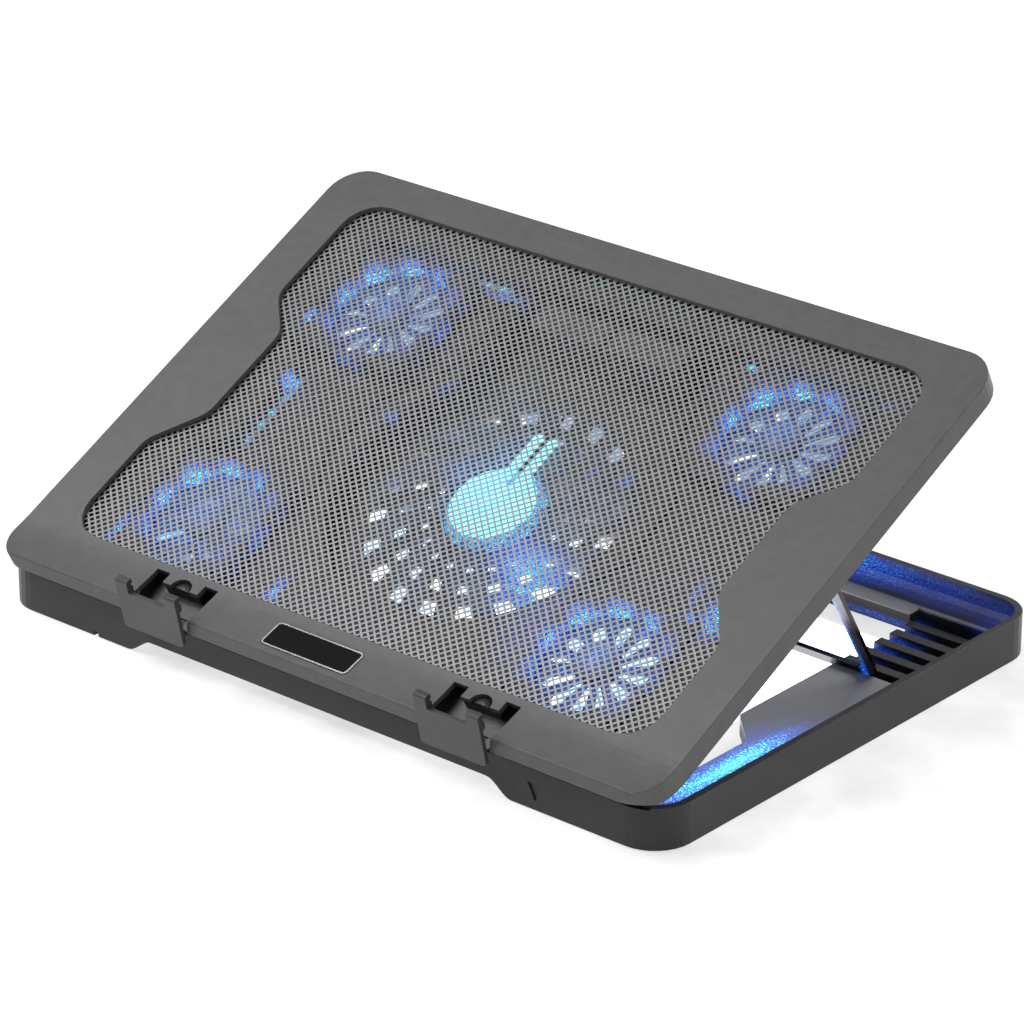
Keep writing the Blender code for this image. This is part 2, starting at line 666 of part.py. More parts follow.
def make_cover():
    """The deck's top cover with its mesh opening, front strip, notches and screw posts."""
    plan = rounded_rect((-DECK_HALF, DECK_HALF), (flat_y(DECK_DEPTH), flat_y(0.0)),
                        DECK_CORNER, 8)
    cover = prism("cover", cover_section(0.0), "X", -DECK_HALF - MM, DECK_HALF + MM)
    combine(cover, prism("plan", plan, "Z", 0.0, 3 * CLOSED_TOP), "INTERSECT")
    inner_plan = rounded_rect((-DECK_HALF + SIDE_SKIN, DECK_HALF - SIDE_SKIN),
                              (flat_y(DECK_DEPTH) + SIDE_SKIN, flat_y(0.0) - SIDE_SKIN),
                              DECK_CORNER - SIDE_SKIN, 8)
    hollow = prism("hollow", cover_section(SKIN), "X", -DECK_HALF, DECK_HALF)
    combine(hollow, prism("plan", inner_plan, "Z", 0.0, 3 * CLOSED_TOP), "INTERSECT")
    cut(cover, hollow)
    for _, x, y in screw_places():
        add(cover, disc("post", x, y, (flat_z(PAN_TOP + GAP), flat_z(-SKIN / 2)), POST_R, 20))
    cut(cover, *[disc("bore", x, y, (flat_z(PAN_TOP - MM), flat_z(-SKIN - 0.6 * MM)), 1.3 * MM, 14)
                 for _, x, y in screw_places()])
    cut(cover, prism("opening", opening_outline(), "Z", 0.0, 3 * CLOSED_TOP))
    for side in (-1, 1):
        cut(cover, prism("notch", notch_outline(side), "Z", 0.0, 3 * CLOSED_TOP))
    cut(cover, on_strip(plate_outline(BEZEL_W + GAP), -PLATE_T, 5.0 * MM, "plate_seat"))
    ports = []
    low = flat_z(BOARD_TOP - BOARD_T) - GAP
    for x in PORT_XS:
        ports.append(box("port_hole", (x - PORT_W / 2 - GAP, x + PORT_W / 2 + GAP),
                         (flat_y(2 * SIDE_SKIN), flat_y(-MM)), (low, low + PORT_H + 2 * GAP)))
    dial_z = dial_low()
    ports.append(box("dial_hole", (DIAL_X - DIAL_R - GAP, DIAL_X + DIAL_R + GAP),
                     (flat_y(2 * SIDE_SKIN), flat_y(-MM)), (dial_z - GAP, dial_z + DIAL_T + GAP)))
    cut(cover, *ports)
    return dress(cover, "top_cover", "deck_plastic", 30)


def dial_low():
    """Underside of the speed dial on the closed deck."""
    return flat_z(BOARD_TOP + 1.9 * MM)


def fan_places():
    """Name and place of each small fan."""
    return [("rear_left", -FAN_X, flat_y(FAN_BACK_REAR)), ("rear_right", FAN_X, flat_y(FAN_BACK_REAR)),
            ("front_left", -FAN_X, flat_y(FAN_BACK_FRONT)),
            ("front_right", FAN_X, flat_y(FAN_BACK_FRONT))]


def tray_outline(grow):
    """The pan's waisted inner tray, optionally grown all round."""
    corners = []
    for side in (1, -1):
        run = [(TRAY_SIDE_HALF, TRAY_FRONT_BACK, 5.0 * MM), (TRAY_SIDE_HALF, 171.5 * MM, 6.0 * MM),
               (TRAY_WAIST_HALF, 163.0 * MM, 6.0 * MM), (TRAY_WAIST_HALF, 111.0 * MM, 6.0 * MM),
               (TRAY_SIDE_HALF, 102.0 * MM, 6.0 * MM), (TRAY_SIDE_HALF, TRAY_REAR_BACK, 5.0 * MM)]
        if side < 0:
            run = run[::-1]
        for x, back, radius in run:
            edge = back
            if back == TRAY_FRONT_BACK:
                edge = back + grow
            if back == TRAY_REAR_BACK:
                edge = back - grow
            corners.append((side * (x + grow), flat_y(edge), radius))
    return fillet(corners, 3)


def slot_outline(x, y, angle):
    """A teardrop slot pointing away from a fan's middle."""
    shape = ((SLOT_INNER, 0.16), (SLOT_OUTER - 3.6 * MM, 0.50), (SLOT_OUTER, 0.20))
    points = [(r, -w * SLOT_WIDTH) for r, w in shape] + [(r, w * SLOT_WIDTH) for r, w in shape[::-1]]
    c, s = math.cos(angle), math.sin(angle)
    return [(x + a * c - b * s, y + a * s + b * c) for a, b in points]


def ring_outline(x, y, radius, depth, width, angle):
    """One slanted four-sided opening of the main fan's grille."""
    skew = 0.12 * width
    points = [(radius - depth / 2, -width * 0.40 - skew), (radius + depth / 2, -width / 2 + skew),
              (radius + depth / 2, width / 2 + skew), (radius - depth / 2, width * 0.40 - skew)]
    c, s = math.cos(angle), math.sin(angle)
    return [(x + a * c - b * s, y + a * s + b * c) for a, b in points]


def lug_outline():
    """Side view of a deck hinge lug, leaning so that it clears the frame's front wall."""
    c, s = math.cos(DECK_TILT), math.sin(DECK_TILT)
    top = flat_z(PAN_TOP - 0.5 * MM)
    first = (HINGE_Y - HINGE_EYE_R * c, HINGE_Z + HINGE_EYE_R * s)
    run = (top - first[1]) * s / c
    arc = []
    start = math.pi - DECK_TILT
    for k in range(9):
        t = start + (2 * math.pi - start) * k / 8
        arc.append((HINGE_Y + HINGE_EYE_R * math.cos(t), HINGE_Z + HINGE_EYE_R * math.sin(t)))
    return [(first[0] + run, top)] + arc + [(first[0] + run + 8.0 * MM, top)]


def make_pan():
    """The deck's bottom pan: plate, fan wells with slots, main tub, lugs for hinge and stand."""
    inset = SIDE_SKIN + GAP
    plan = rounded_rect((-DECK_HALF + inset, DECK_HALF - inset),
                        (flat_y(DECK_DEPTH - 15.2 * MM), flat_y(0.0) - inset), DECK_CORNER - inset, 5)
    pan = prism("pan", plan, "Z", flat_z(PAN_LOW), flat_z(PAN_TOP))
    add(pan, prism("tray", tray_outline(WELL_SKIN), "Z", flat_z(WELL_FLOOR - WELL_SKIN),
                   flat_z(PAN_LOW + MM)))
    tub_y = flat_y(MAIN_BACK)
    bay = (-TUB_BAY_HALF, TUB_BAY_HALF)
    bay_rear = flat_y(TUB_BAY_REAR)
    tub = disc("tub", 0.0, tub_y, (flat_z(TUB_FLOOR - TUB_SKIN), flat_z(WELL_FLOOR)),
               TUB_R + TUB_SKIN, 48)
    add(tub, box("bay", (bay[0] - TUB_SKIN, bay[1] + TUB_SKIN), (tub_y, bay_rear + TUB_SKIN),
                 (flat_z(TUB_FLOOR - TUB_SKIN), flat_z(WELL_FLOOR))))
    add(pan, tub)
    cut(pan, prism("tray_in", tray_outline(0.0), "Z", flat_z(WELL_FLOOR), flat_z(PAN_TOP + MM)))
    hole = disc("tub_in", 0.0, tub_y, (flat_z(TUB_FLOOR), flat_z(WELL_FLOOR + MM)), TUB_R, 48)
    cut(pan, add(hole, box("bay_in", bay, (tub_y, bay_rear),
                           (flat_z(TUB_FLOOR), flat_z(WELL_FLOOR + MM)))))
    case = (-BOX_HALF - BOX_SKIN, BOX_HALF + BOX_SKIN)
    shell = box("case", case, (flat_y(BOX_BACK + BOX_SKIN), flat_y(0.0) - inset - GAP),
                (flat_z(BOX_FLOOR - BOX_SKIN), flat_z(PAN_LOW + MM)))
    add(pan, shell)
    cut(pan, box("case_in", (-BOX_HALF, BOX_HALF), (flat_y(BOX_BACK), flat_y(0.0) - inset + MM),
                 (flat_z(BOX_FLOOR), flat_z(PAN_TOP + MM))))
    slots = []
    for _, x, y in fan_places():
        for k in range(SLOT_COUNT):
            angle = 2 * math.pi * (k + 0.25) / SLOT_COUNT
            slots.append(prism("slot", slot_outline(x, y, angle), "Z",
                               flat_z(WELL_FLOOR - WELL_SKIN - MM), flat_z(WELL_FLOOR + MM)))
    cut(pan, *slots)
    quads = []
    for radius, depth, width, start in RINGS:
        for k in range(RING_COUNT):
            angle = math.radians(start - 90.0) + 2 * math.pi * k / RING_COUNT
            quads.append(prism("quad", ring_outline(0.0, tub_y, radius, depth, width, angle), "Z",
                               flat_z(TUB_FLOOR - TUB_SKIN - MM), flat_z(TUB_FLOOR + MM)))
    quads.append(disc("axle_bore", 0.0, tub_y, (flat_z(TUB_FLOOR - TUB_SKIN - MM),
                                                flat_z(TUB_FLOOR + MM)), AXLE_R + GAP, 16))
    cut(pan, *quads)
    gaps = []
    for side in (-1, 1):
        reach = STOPPER_W / 2 + SWING_GAP + 1.4 * MM + GAP
        gaps.append(box("tray_gap", (side * STOPPER_X - reach, side * STOPPER_X + reach),
                        (flat_y(DECK_DEPTH - 11.2 * MM), flat_y(NOTCH_REAR_BACK - 1.6 * MM - GAP)),
                        (flat_z(PAN_LOW - MM), flat_z(PAN_TOP + MM))))
    cut(pan, *gaps)
    stand_y = flat_y(STAND_PIVOT_BACK)
    stand_z = flat_z(STAND_PIVOT_UP)
    for side in (-1, 1):
        low, high = sorted((side * HINGE_LUG_X, side * (HINGE_LUG_X + HINGE_LUG_W)))
        add(pan, prism("lug", lug_outline(), "X", low, high))
        inner = STAND_HALF - STAND_ARM_W
        for edge in (inner - SWING_GAP - STAND_LUG_W, STAND_HALF + SWING_GAP):
            low, high = sorted((side * edge, side * (edge + STAND_LUG_W)))
            outline = fillet([(stand_y - STAND_EYE_R, stand_z - STAND_EYE_R, STAND_EYE_R * 0.98),
                              (stand_y + STAND_EYE_R, stand_z - STAND_EYE_R, STAND_EYE_R * 0.98),
                              (stand_y + STAND_EYE_R, flat_z(PAN_LOW + MM), 0.0),
                              (stand_y - STAND_EYE_R, flat_z(PAN_LOW + MM), 0.0)], 3)
            add(pan, prism("stand_lug", outline, "X", low, high))
        eye = sorted((side * (inner - SWING_GAP), side * (STAND_HALF + SWING_GAP)))
        room = STAND_EYE_R + 2 * SWING_GAP
        cut(pan, box("eye_slot", eye, (stand_y - room, stand_y + room),
                     (flat_z(PAN_LOW - MM), flat_z(PAN_TOP + MM))))
        bore = sorted((side * (HINGE_LUG_X - MM), side * (HINGE_LUG_X + HINGE_LUG_W + MM)))
        cut(pan, rod("bore", bore, HINGE_Y, HINGE_Z, HINGE_PIN_R + GAP, 12))
        bore = sorted((side * (inner - 6.0 * MM), side * (STAND_HALF + 6.0 * MM)))
        cut(pan, rod("bore", bore, stand_y, stand_z, STAND_PIN_R + GAP, 10))
    cut(pan, *[disc("screw_hole", x, y, (flat_z(PAN_LOW - MM), flat_z(PAN_TOP + MM)), 1.7 * MM, 16)
               for _, x, y in screw_places()])
    return dress(pan, "bottom_pan", "pan_plastic", 30)


def make_screws():
    """The pan's screws, one piece each."""
    made = []
    for name, x, y in screw_places():
        low = flat_z(PAN_LOW)
        tip = flat_z(-SKIN - 1.2 * MM)
        profile = ((0.0, low - 1.6 * MM), (2.2 * MM, low - 1.6 * MM), (2.8 * MM, low - GAP),
                   (1.1 * MM, low - GAP), (1.1 * MM, tip - 0.6 * MM), (0.0, tip))
        screw = lathe(name, (x, y), profile, 12)
        cut(screw, box("drive", (x - 1.6 * MM, x + 1.6 * MM), (y - 0.3 * MM, y + 0.3 * MM),
                       (low - 3.0 * MM, low - 1.0 * MM)))
        made.append(dress(screw, name, "screw_steel", 40))
    return made


def make_trim():
    """Mesh sheet, nameplate with its bezel, and the LED strips under the rim."""
    mesh = prism("mesh", opening_outline(MESH_BORDER), "Z", flat_z(MESH_TOP - MESH_T),
                 flat_z(MESH_TOP))
    made = [dress(mesh, "mesh_grille", "mesh_steel", 30)]
    plate = on_strip(plate_outline(0.0), GAP - PLATE_T, 0.2 * MM, "plate")
    made.append(dress(plate, "nameplate", "plate_black", 30))
    bezel = on_strip(plate_outline(BEZEL_W), GAP - PLATE_T, 0.35 * MM, "bezel")
    cut(bezel, on_strip(plate_outline(0.15 * MM), -2.0 * MM, 3.0 * MM, "bezel_in"))
    made.append(dress(bezel, "nameplate_bezel", "bezel_silver", 30))
    low = flat_z(WELL_FLOOR + GAP)
    side = TRAY_WAIST_HALF - GAP
    rear = (67.0 * MM, 140.0 * MM)
    rear_far = TRAY_REAR_BACK + GAP + LED_W
    front_near = TRAY_FRONT_BACK - GAP - LED_W
    strips = (("led_strip_rear_left", (-rear[1], -rear[0]), TRAY_REAR_BACK + GAP, rear_far),
              ("led_strip_rear_right", rear, TRAY_REAR_BACK + GAP, rear_far),
              ("led_strip_front", (-62.0 * MM, 62.0 * MM), front_near, front_near + LED_W),
              ("led_strip_left", (-side, -side + LED_W), 114.0 * MM, 160.0 * MM),
              ("led_strip_right", (side - LED_W, side), 114.0 * MM, 160.0 * MM))
    for name, x, near, far in strips:
        strip = box(name, x, (flat_y(far), flat_y(near)), (low, low + LED_T))
        made.append(dress(strip, name, "led_blue"))
    return made


# ---------------------------------------------------------------- fans

def blade(centre, inner, outer, phase, span, sweep, low, high, thick):
    """One pitched, swept fan blade as a closed strip."""
    bm = bmesh.new()
    rows = []
    for t in (0.0, 1.0):
        radius = inner + (outer - inner) * t
        middle = phase + sweep * t
        half = span * (0.5 + 0.12 * t) / 2 + span * 0.18
        corners = []
        for side, level in ((-1, low), (1, high)):
            angle = middle + side * half
            x = centre[0] + radius * math.cos(angle)
            y = centre[1] + radius * math.sin(angle)
            shift = thick if side < 0 else -thick
            pair = ((x, y, level), (x, y, level + shift))
            corners.append(pair if side < 0 else pair[::-1])
        rows.append([bm.verts.new(corners[0][0]), bm.verts.new(corners[1][0]),
                     bm.verts.new(corners[1][1]), bm.verts.new(corners[0][1])])
    for a, b in zip(rows, rows[1:]):
        for k in range(4):
            m = (k + 1) % 4
            bm.faces.new((a[k], a[m], b[m], b[k]))
    bm.faces.new(rows[0])
    bm.faces.new(rows[-1])
    return finish_mesh(bm, "blade")


def make_small_fan(word, x, y):
    """Frame and rotor of one small fan."""
    top = flat_z(FAN_TOP)
    low = flat_z(WELL_FLOOR + GAP)
    half = FAN_SIDE / 2
    outline = rounded_rect((x - half, x + half), (y - half, y + half), 2.2 * MM, 3)
    frame = prism("frame", outline, "Z", low, top)
    cut(frame, disc("duct", x, y, (low - MM, top + MM), FAN_DUCT_R, 24))
    bed = 1.0 * MM
    for k in range(3):
        strut = box("strut", (0.0, FAN_DUCT_R + MM), (-1.1 * MM, 1.1 * MM), (low, low + bed))
        strut.data.transform(Matrix.Translation((x, y, 0.0))
                             @ Matrix.Rotation(math.radians(75 + 120 * k), 4, "Z"))
        add(frame, strut)
    add(frame, disc("bed", x, y, (low, low + bed), FAN_HUB_R - MM, 16))
    add(frame, disc("post", x, y, (low, top - 2.6 * MM), FAN_POST_R, 10))
    holes = [disc("hole", x + a * (half - 4.0 * MM), y + b * (half - 4.0 * MM),
                  (low - MM, top + MM), 1.6 * MM, 6) for a in (-1, 1) for b in (-1, 1)]
    cut(frame, *holes)
    dress(frame, "fan_frame_" + word, "fan_frame_blue", 35)
    base = low + bed + 0.5 * MM
    crown = top - 0.5 * MM
    bore = FAN_POST_R + GAP
    profile = ((bore, base), (FAN_HUB_R, base), (FAN_HUB_R, crown - 0.8 * MM),
               (FAN_HUB_R - 0.8 * MM, crown), (0.0, crown), (0.0, top - 2.2 * MM),
               (bore, top - 2.2 * MM))
    rotor = lathe("rotor", (x, y), profile, 20)
    for k in range(FAN_BLADES):
        phase = 2 * math.pi * k / FAN_BLADES
        add(rotor, blade((x, y), FAN_HUB_R - 0.6 * MM, FAN_ROTOR_R, phase,
                         2 * math.pi / FAN_BLADES, 0.42, base + 0.2 * MM, crown - 0.3 * MM,
                         0.9 * MM))
    dress(rotor, "fan_rotor_" + word, "rotor_blue", 35)
    return frame, rotor


def make_main_fan():
    """Axle, rotor and lit cap of the main fan."""
    y = flat_y(MAIN_BACK)
    floor = flat_z(TUB_FLOOR)
    cap_low = flat_z(CAP_TOP - CAP_T)
    axle = lathe("axle", (0.0, y), ((0.0, floor - TUB_SKIN), (AXLE_R, floor - TUB_SKIN),
                                    (AXLE_R, cap_low - GAP), (0.0, cap_low - GAP)), 16)
    dress(axle, "main_fan_axle", "axle_steel", 35)
    bore = AXLE_R + GAP
    base = floor + 0.6 * MM
    crown = cap_low - SWING_GAP
    rotor = lathe("rotor", (0.0, y), ((bore, base), (MAIN_HUB_R, base),
                                      (MAIN_HUB_R - 2.0 * MM, crown), (bore, crown)), 28)
    for k in range(MAIN_BLADES):
        phase = 2 * math.pi * k / MAIN_BLADES
        add(rotor, blade((0.0, y), MAIN_HUB_R - 2.6 * MM, MAIN_ROTOR_R, phase,
                         2 * math.pi / MAIN_BLADES, 0.5, base + 0.2 * MM, crown - 0.2 * MM,
                         0.8 * MM))
    dress(rotor, "main_fan_rotor", "rotor_clear", 35)
    cap = disc("cap", 0.0, y, (cap_low, flat_z(CAP_TOP)), CAP_R, 36)
    half = CAP_BAR_GAP / 2 + CAP_BAR_W
    add(cap, box("bars", (-half, half), (y, y + CAP_BAR_REACH), (cap_low, flat_z(CAP_TOP))))
    cut(cap, box("lane", (-CAP_BAR_GAP / 2, CAP_BAR_GAP / 2),
                 (y + CAP_R - 9.0 * MM, y + CAP_BAR_REACH + MM),
                 (cap_low - MM, flat_z(CAP_TOP + MM))))
    dress(cap, "main_fan_cap", "cap_cyan", 35)
    return [axle, cap], rotor


# ---------------------------------------------------------------- electronics

def make_electronics():
    """Circuit board, ports, potentiometer and speed dial along the rear edge."""
    made = []
    rear = flat_y(0.0) - SIDE_SKIN - GAP - MM
    front = flat_y(BOX_BACK - MM)
    half = BOX_HALF - MM
    corners = [(-half, front), (half, front), (half, rear)]
    inner = rear - PORT_LEN + 3.0 * MM
    for x in PORT_XS[::-1]:
        corners += [(x + PORT_W / 2 + GAP, rear), (x + PORT_W / 2 + GAP, inner),
                    (x - PORT_W / 2 - GAP, inner), (x - PORT_W / 2 - GAP, rear)]
    corners.append((-half, rear))
    board = prism("board", corners, "Z", flat_z(BOARD_TOP - BOARD_T), flat_z(BOARD_TOP))
    made.append(dress(board, "circuit_board", "board_green"))
    low = flat_z(BOARD_TOP - BOARD_T)
    mouth = flat_y(GAP)
    deep = inner + GAP
    for word, x in zip(("left", "right"), PORT_XS):
        port = box("port", (x - PORT_W / 2, x + PORT_W / 2), (deep, mouth), (low, low + PORT_H))
        shell = 0.45 * MM
        cut(port, box("mouth", (x - PORT_W / 2 + shell, x + PORT_W / 2 - shell),
                      (deep + 1.6 * MM, mouth + MM), (low + shell, low + PORT_H - shell)))
        add(port, box("tongue", (x - 5.2 * MM, x + 5.2 * MM), (deep + MM, mouth - 0.8 * MM),
                      (low + 3.1 * MM, low + 4.5 * MM)))
        made.append(dress(port, "usb_port_" + word, "port_steel"))
    dial_y = flat_y(DIAL_BACK)
    pot_top = dial_low() - GAP
    pot = box("pot", (DIAL_X - 5.0 * MM, DIAL_X + 5.0 * MM),
              (dial_y - 5.0 * MM, min(dial_y + 5.0 * MM, rear)),
              (flat_z(BOARD_TOP) + GAP, pot_top))
    add(pot, disc("post", DIAL_X, dial_y, (pot_top - 0.5 * MM, dial_low() + DIAL_T), 1.2 * MM, 16))
    made.append(dress(pot, "speed_potentiometer", "pot_black", 40))
    x_out = (-CONTROL_HALF, CONTROL_HALF)
    y_out = (flat_y(CONTROL_FRONT), flat_y(CONTROL_REAR))
    cover = prism("cover", rounded_rect(x_out, y_out, 2.0 * MM, 3), "Z",
                  flat_z(TUB_FLOOR) + GAP, flat_z(CONTROL_TOP))
    cut(cover, box("inside", (x_out[0] + WELL_SKIN, x_out[1] - WELL_SKIN),
                   (y_out[0] + WELL_SKIN, y_out[1] - WELL_SKIN),
                   (0.0, flat_z(CONTROL_TOP - WELL_SKIN))))
    made.append(dress(cover, "controller_cover", "cover_grey", 30))
    knurl = []
    for k in range(36):
        radius = DIAL_R if k % 2 else DIAL_R - 0.35 * MM
        angle = 2 * math.pi * k / 36
        knurl.append((DIAL_X + radius * math.cos(angle), dial_y + radius * math.sin(angle)))
    dial = prism("dial", knurl, "Z", dial_low(), dial_low() + DIAL_T)
    cut(dial, disc("bore", DIAL_X, dial_y, (0.0, 1.0), 1.2 * MM + GAP, 16))
    dress(dial, "speed_dial", "dial_plastic")
    return made, dial


def wire_runs():
    """Name and route, in (x, back, up), of each internal wire."""
    over = PAN_TOP + GAP + WIRE_R
    start = BOARD_TOP + GAP + WIRE_R
    lane_up = CAP_TOP - WIRE_R
    floor = WELL_FLOOR + GAP + WIRE_R
    lid = CONTROL_TOP + GAP + WIRE_R
    runs = [("wire_main_fan", [(0.0, 15.0, start), (0.0, 19.0, over), (0.0, 32.0, over),
                               (0.0, 37.0, lid + 0.6 * MM), (0.0, 41.0, lid), (0.0, 52.0, lid),
                               (0.0, 58.0, lid - 3.0 * MM), (0.0, 76.0, lane_up + 2.5 * MM),
                               (0.0, 92.0, lane_up), (0.0, 120.0, lane_up)])]
    for word, side in (("left", -1), ("right", 1)):
        edge = (FAN_X - FAN_SIDE / 2) / MM - 1.1
        bay = (TUB_BAY_HALF + TUB_SKIN) / MM
        rear = [(36.0, 16.0, start), (42.0, 21.0, over), (50.0, 29.0, over),
                (55.0, 33.0, over), (bay + 4.0, 38.0, floor), (bay + 9.0, 44.0, floor),
                (edge, 54.0, floor), (edge, 66.0, floor)]
        front = [(28.0, 16.0, start), (34.0, 21.0, over), (42.0, 29.0, over),
                 (47.0, 34.0, over), (bay + 2.0, 50.0, floor), (bay + 4.0, 76.0, floor),
                 (bay + 11.0, 92.0, floor), (edge + 6.0, 112.0, floor),
                 (edge + 8.0, 150.0, floor), (edge - 2.0, 168.0, floor), (edge, 184.0, floor),
                 (edge, 204.0, floor)]
        for where, route in (("rear", rear), ("front", front)):
            runs.append(("wire_fan_" + where + "_" + word,
                         [(side * x * MM, back, up) for x, back, up in route]))
    return runs


def make_wires():
    """Internal wires from the board to each fan."""
    made = []
    for name, route in wire_runs():
        points = [(x, flat_y(back * MM), flat_z(up)) for x, back, up in route]
        made.append(dress(tube(name, points, WIRE_R), name, "wire_black", 60))
    return made


# ---------------------------------------------------------------- moving pieces

def make_stand():
    """The folding stand, drawn folded flat under the deck, and its two pins."""
    y = flat_y(STAND_PIVOT_BACK)
    z = flat_z(STAND_PIVOT_UP)
    far = y + STAND_REACH
    inner = STAND_HALF - STAND_ARM_W
    outline = fillet([(-STAND_HALF, y, 0.0), (-inner, y, 0.0), (-inner, far - STAND_BAR_W, 4.0 * MM),
                      (inner, far - STAND_BAR_W, 4.0 * MM), (inner, y, 0.0), (STAND_HALF, y, 0.0),
                      (STAND_HALF, far, 8.0 * MM), (-STAND_HALF, far, 8.0 * MM)], 5)
    stand = prism("stand", outline, "Z", z - STAND_T / 2, z + STAND_T / 2)
    pins = []
    for side, word in ((-1, "left"), (1, "right")):
        span = sorted((side * inner, side * STAND_HALF))
        add(stand, rod("eye", span, y, z, STAND_EYE_R - 0.05 * MM, 12))
        wide = (span[0] - MM, span[1] + MM)
        cut(stand, rod("bore", wide, y, z, STAND_PIN_R + GAP, 10))
        ends = sorted((side * (inner - STAND_LUG_W), side * (STAND_HALF + STAND_LUG_W)))
        pins.append(dress(rod("pin", ends, y, z, STAND_PIN_R, 16), "stand_pin_" + word,
                          "pin_steel", 40))
    dress(stand, "stand_frame", "stand_steel", 35)
    return stand, pins, Vector((0.0, y, z))


def make_stopper(side, word):
    """One flip-up stopper, drawn folded back, with its tray, pin and catch."""
    middle = side * STOPPER_X
    y = flat_y(STOPPER_AXIS_BACK)
    z = flat_z(STOPPER_AXIS_UP)
    half = STOPPER_W / 2
    top = z + STOPPER_FACE
    plate = prism("plate", fillet([(middle - half, y - STOPPER_LOW, 2.0 * MM),
                                   (middle + half, y - STOPPER_LOW, 2.0 * MM),
                                   (middle + half, y + STOPPER_HIGH, 0.0),
                                   (middle - half, y + STOPPER_HIGH, 0.0)], 4), "Z",
                  top - STOPPER_T, top)
    for flip in (-1, 1):
        low, high = sorted((middle + flip * half, middle + flip * (half - STOPPER_HORN_W)))
        tip = y + STOPPER_HIGH + STOPPER_HORN_H
        root = y + STOPPER_HIGH - 2.2 * MM
        step = 0.9 * MM
        horn = [(root, top - STOPPER_T / 2), (root, top), (tip - MM, top), (tip, top - MM),
                (tip, top - STOPPER_HORN_D), (tip - 2.0 * MM, top - STOPPER_HORN_D),
                (tip - 2.0 * MM, top - STOPPER_HORN_D + step),
                (tip - 3.6 * MM, top - STOPPER_HORN_D + step),
                (tip - 3.6 * MM, top - STOPPER_HORN_D), (root + MM, top - STOPPER_HORN_D)]
        add(plate, prism("horn", horn[::-1], "X", low, high))
    for low, high in ((-9.0 * MM, -5.0 * MM), (5.0 * MM, 9.0 * MM)):
        knuckle = rod("knuckle", (middle + low, middle + high), y, z, STOPPER_EYE_R, 12)
        web = box("web", (middle + low, middle + high),
                  (y - STOPPER_EYE_R * 0.9, y + STOPPER_EYE_R * 0.9), (z, top - STOPPER_T / 2))
        add(plate, add(knuckle, web))
    cut(plate, rod("bore", (middle - 12.0 * MM, middle + 12.0 * MM), y, z,
                   STOPPER_PIN_R + GAP, 8))
    dress(plate, "stopper_" + word, "stopper_plastic", 35)

    reach = half + SWING_GAP + 1.4 * MM
    rear = flat_y(NOTCH_REAR_BACK - 1.6 * MM)
    front = flat_y(DECK_DEPTH - 8.6 * MM)
    floor = flat_z(TRAY_FLOOR)
    tray = box("tray", (middle - reach, middle + reach), (front, rear), (floor - TRAY_T, floor))
    rim = flat_z(-SKIN - GAP)
    for flip in (-1, 1):
        low, high = sorted((middle + flip * reach, middle + flip * (reach - 1.1 * MM)))
        add(tray, box("side", (low, high), (front, rear), (floor - TRAY_T / 2, rim)))
    add(tray, box("back", (middle - reach, middle + reach), (rear - 1.1 * MM, rear),
                  (floor - TRAY_T / 2, rim)))
    block_front = flat_y(NOTCH_TAB_BACK - GAP)
    add(tray, box("block", (middle - NOTCH_TAB_HALF + GAP, middle + NOTCH_TAB_HALF - GAP),
                  (block_front, rear - 0.5 * MM), (floor - TRAY_T / 2, rim)))
    radius = SCOOP_R - GAP
    base = rim - 0.6 * MM
    profile = [(0.0, base)] + [(radius * math.cos(math.pi / 8 * k),
                                rim + 0.46 * radius * math.sin(math.pi / 8 * k)) for k in range(5)]
    profile.insert(1, (radius, base))
    dome = lathe("dome", (middle, block_front), profile[:-1] + [(0.0, profile[-1][1])], 20)
    behind = box("behind", (middle - 2 * radius, middle + 2 * radius),
                 (block_front + 0.01 * MM, rear), (0.0, 3 * CLOSED_TOP))
    add(tray, combine(dome, behind, "INTERSECT"))
    for low, high in ((-13.4 * MM, -9.4 * MM), (-4.6 * MM, 4.6 * MM), (9.4 * MM, 13.4 * MM)):
        span = (middle + low, middle + high)
        arm = box("arm", span, (y, front + 2.0 * MM), (floor - TRAY_T, floor - 0.2 * MM))
        add(tray, add(rod("eye", span, y, z, STOPPER_EYE_R, 12), arm))
    cut(tray, rod("bore", (middle - 15.0 * MM, middle + 15.0 * MM), y, z,
                  STOPPER_PIN_R + GAP, 8))
    dress(tray, "stopper_tray_" + word, "tray_plastic", 35)

    pin = rod("pin", (middle - 13.6 * MM, middle + 13.6 * MM), y, z, STOPPER_PIN_R, 12)
    dress(pin, "stopper_pin_" + word, "pin_steel", 40)

    return plate, [tray, pin], Vector((middle, y, z))


# ---------------------------------------------------------------- put together

def rest(point):
    """Where a place on the closed deck stands once the deck is raised."""
    swing = Matrix.Rotation(DECK_TILT, 3, "X")
    return HINGE + swing @ (point - HINGE)


make_base()
cover = make_cover()
deck = [cover, make_pan()]
deck += make_screws() + make_trim() + make_wires()
rotors = []
for word, x, y in fan_places():
    frame_part, rotor_part = make_small_fan(word, x, y)
    deck.append(frame_part)
    rotors.append((rotor_part, Vector((x, y, flat_z(FAN_TOP)))))
still, rotor_part = make_main_fan()
deck += still
rotors.append((rotor_part, Vector((0.0, flat_y(MAIN_BACK), flat_z(CAP_TOP)))))
still, dial = make_electronics()
deck += still
rotors.append((dial, Vector((DIAL_X, flat_y(DIAL_BACK), dial_low()))))
stand, pins, stand_pivot = make_stand()
deck += pins
turn([stand], stand_pivot, -STAND_REST)
moving = rotors + [(stand, stand_pivot)]
for side, word in ((-1, "left"), (1, "right")):
    stopper, still, axis = make_stopper(side, word)
    deck += still
    turn([stopper], axis, STOPPER_REST)
    moving.append((stopper, axis))
turn(deck + [obj for obj, _ in moving], HINGE, DECK_TILT)
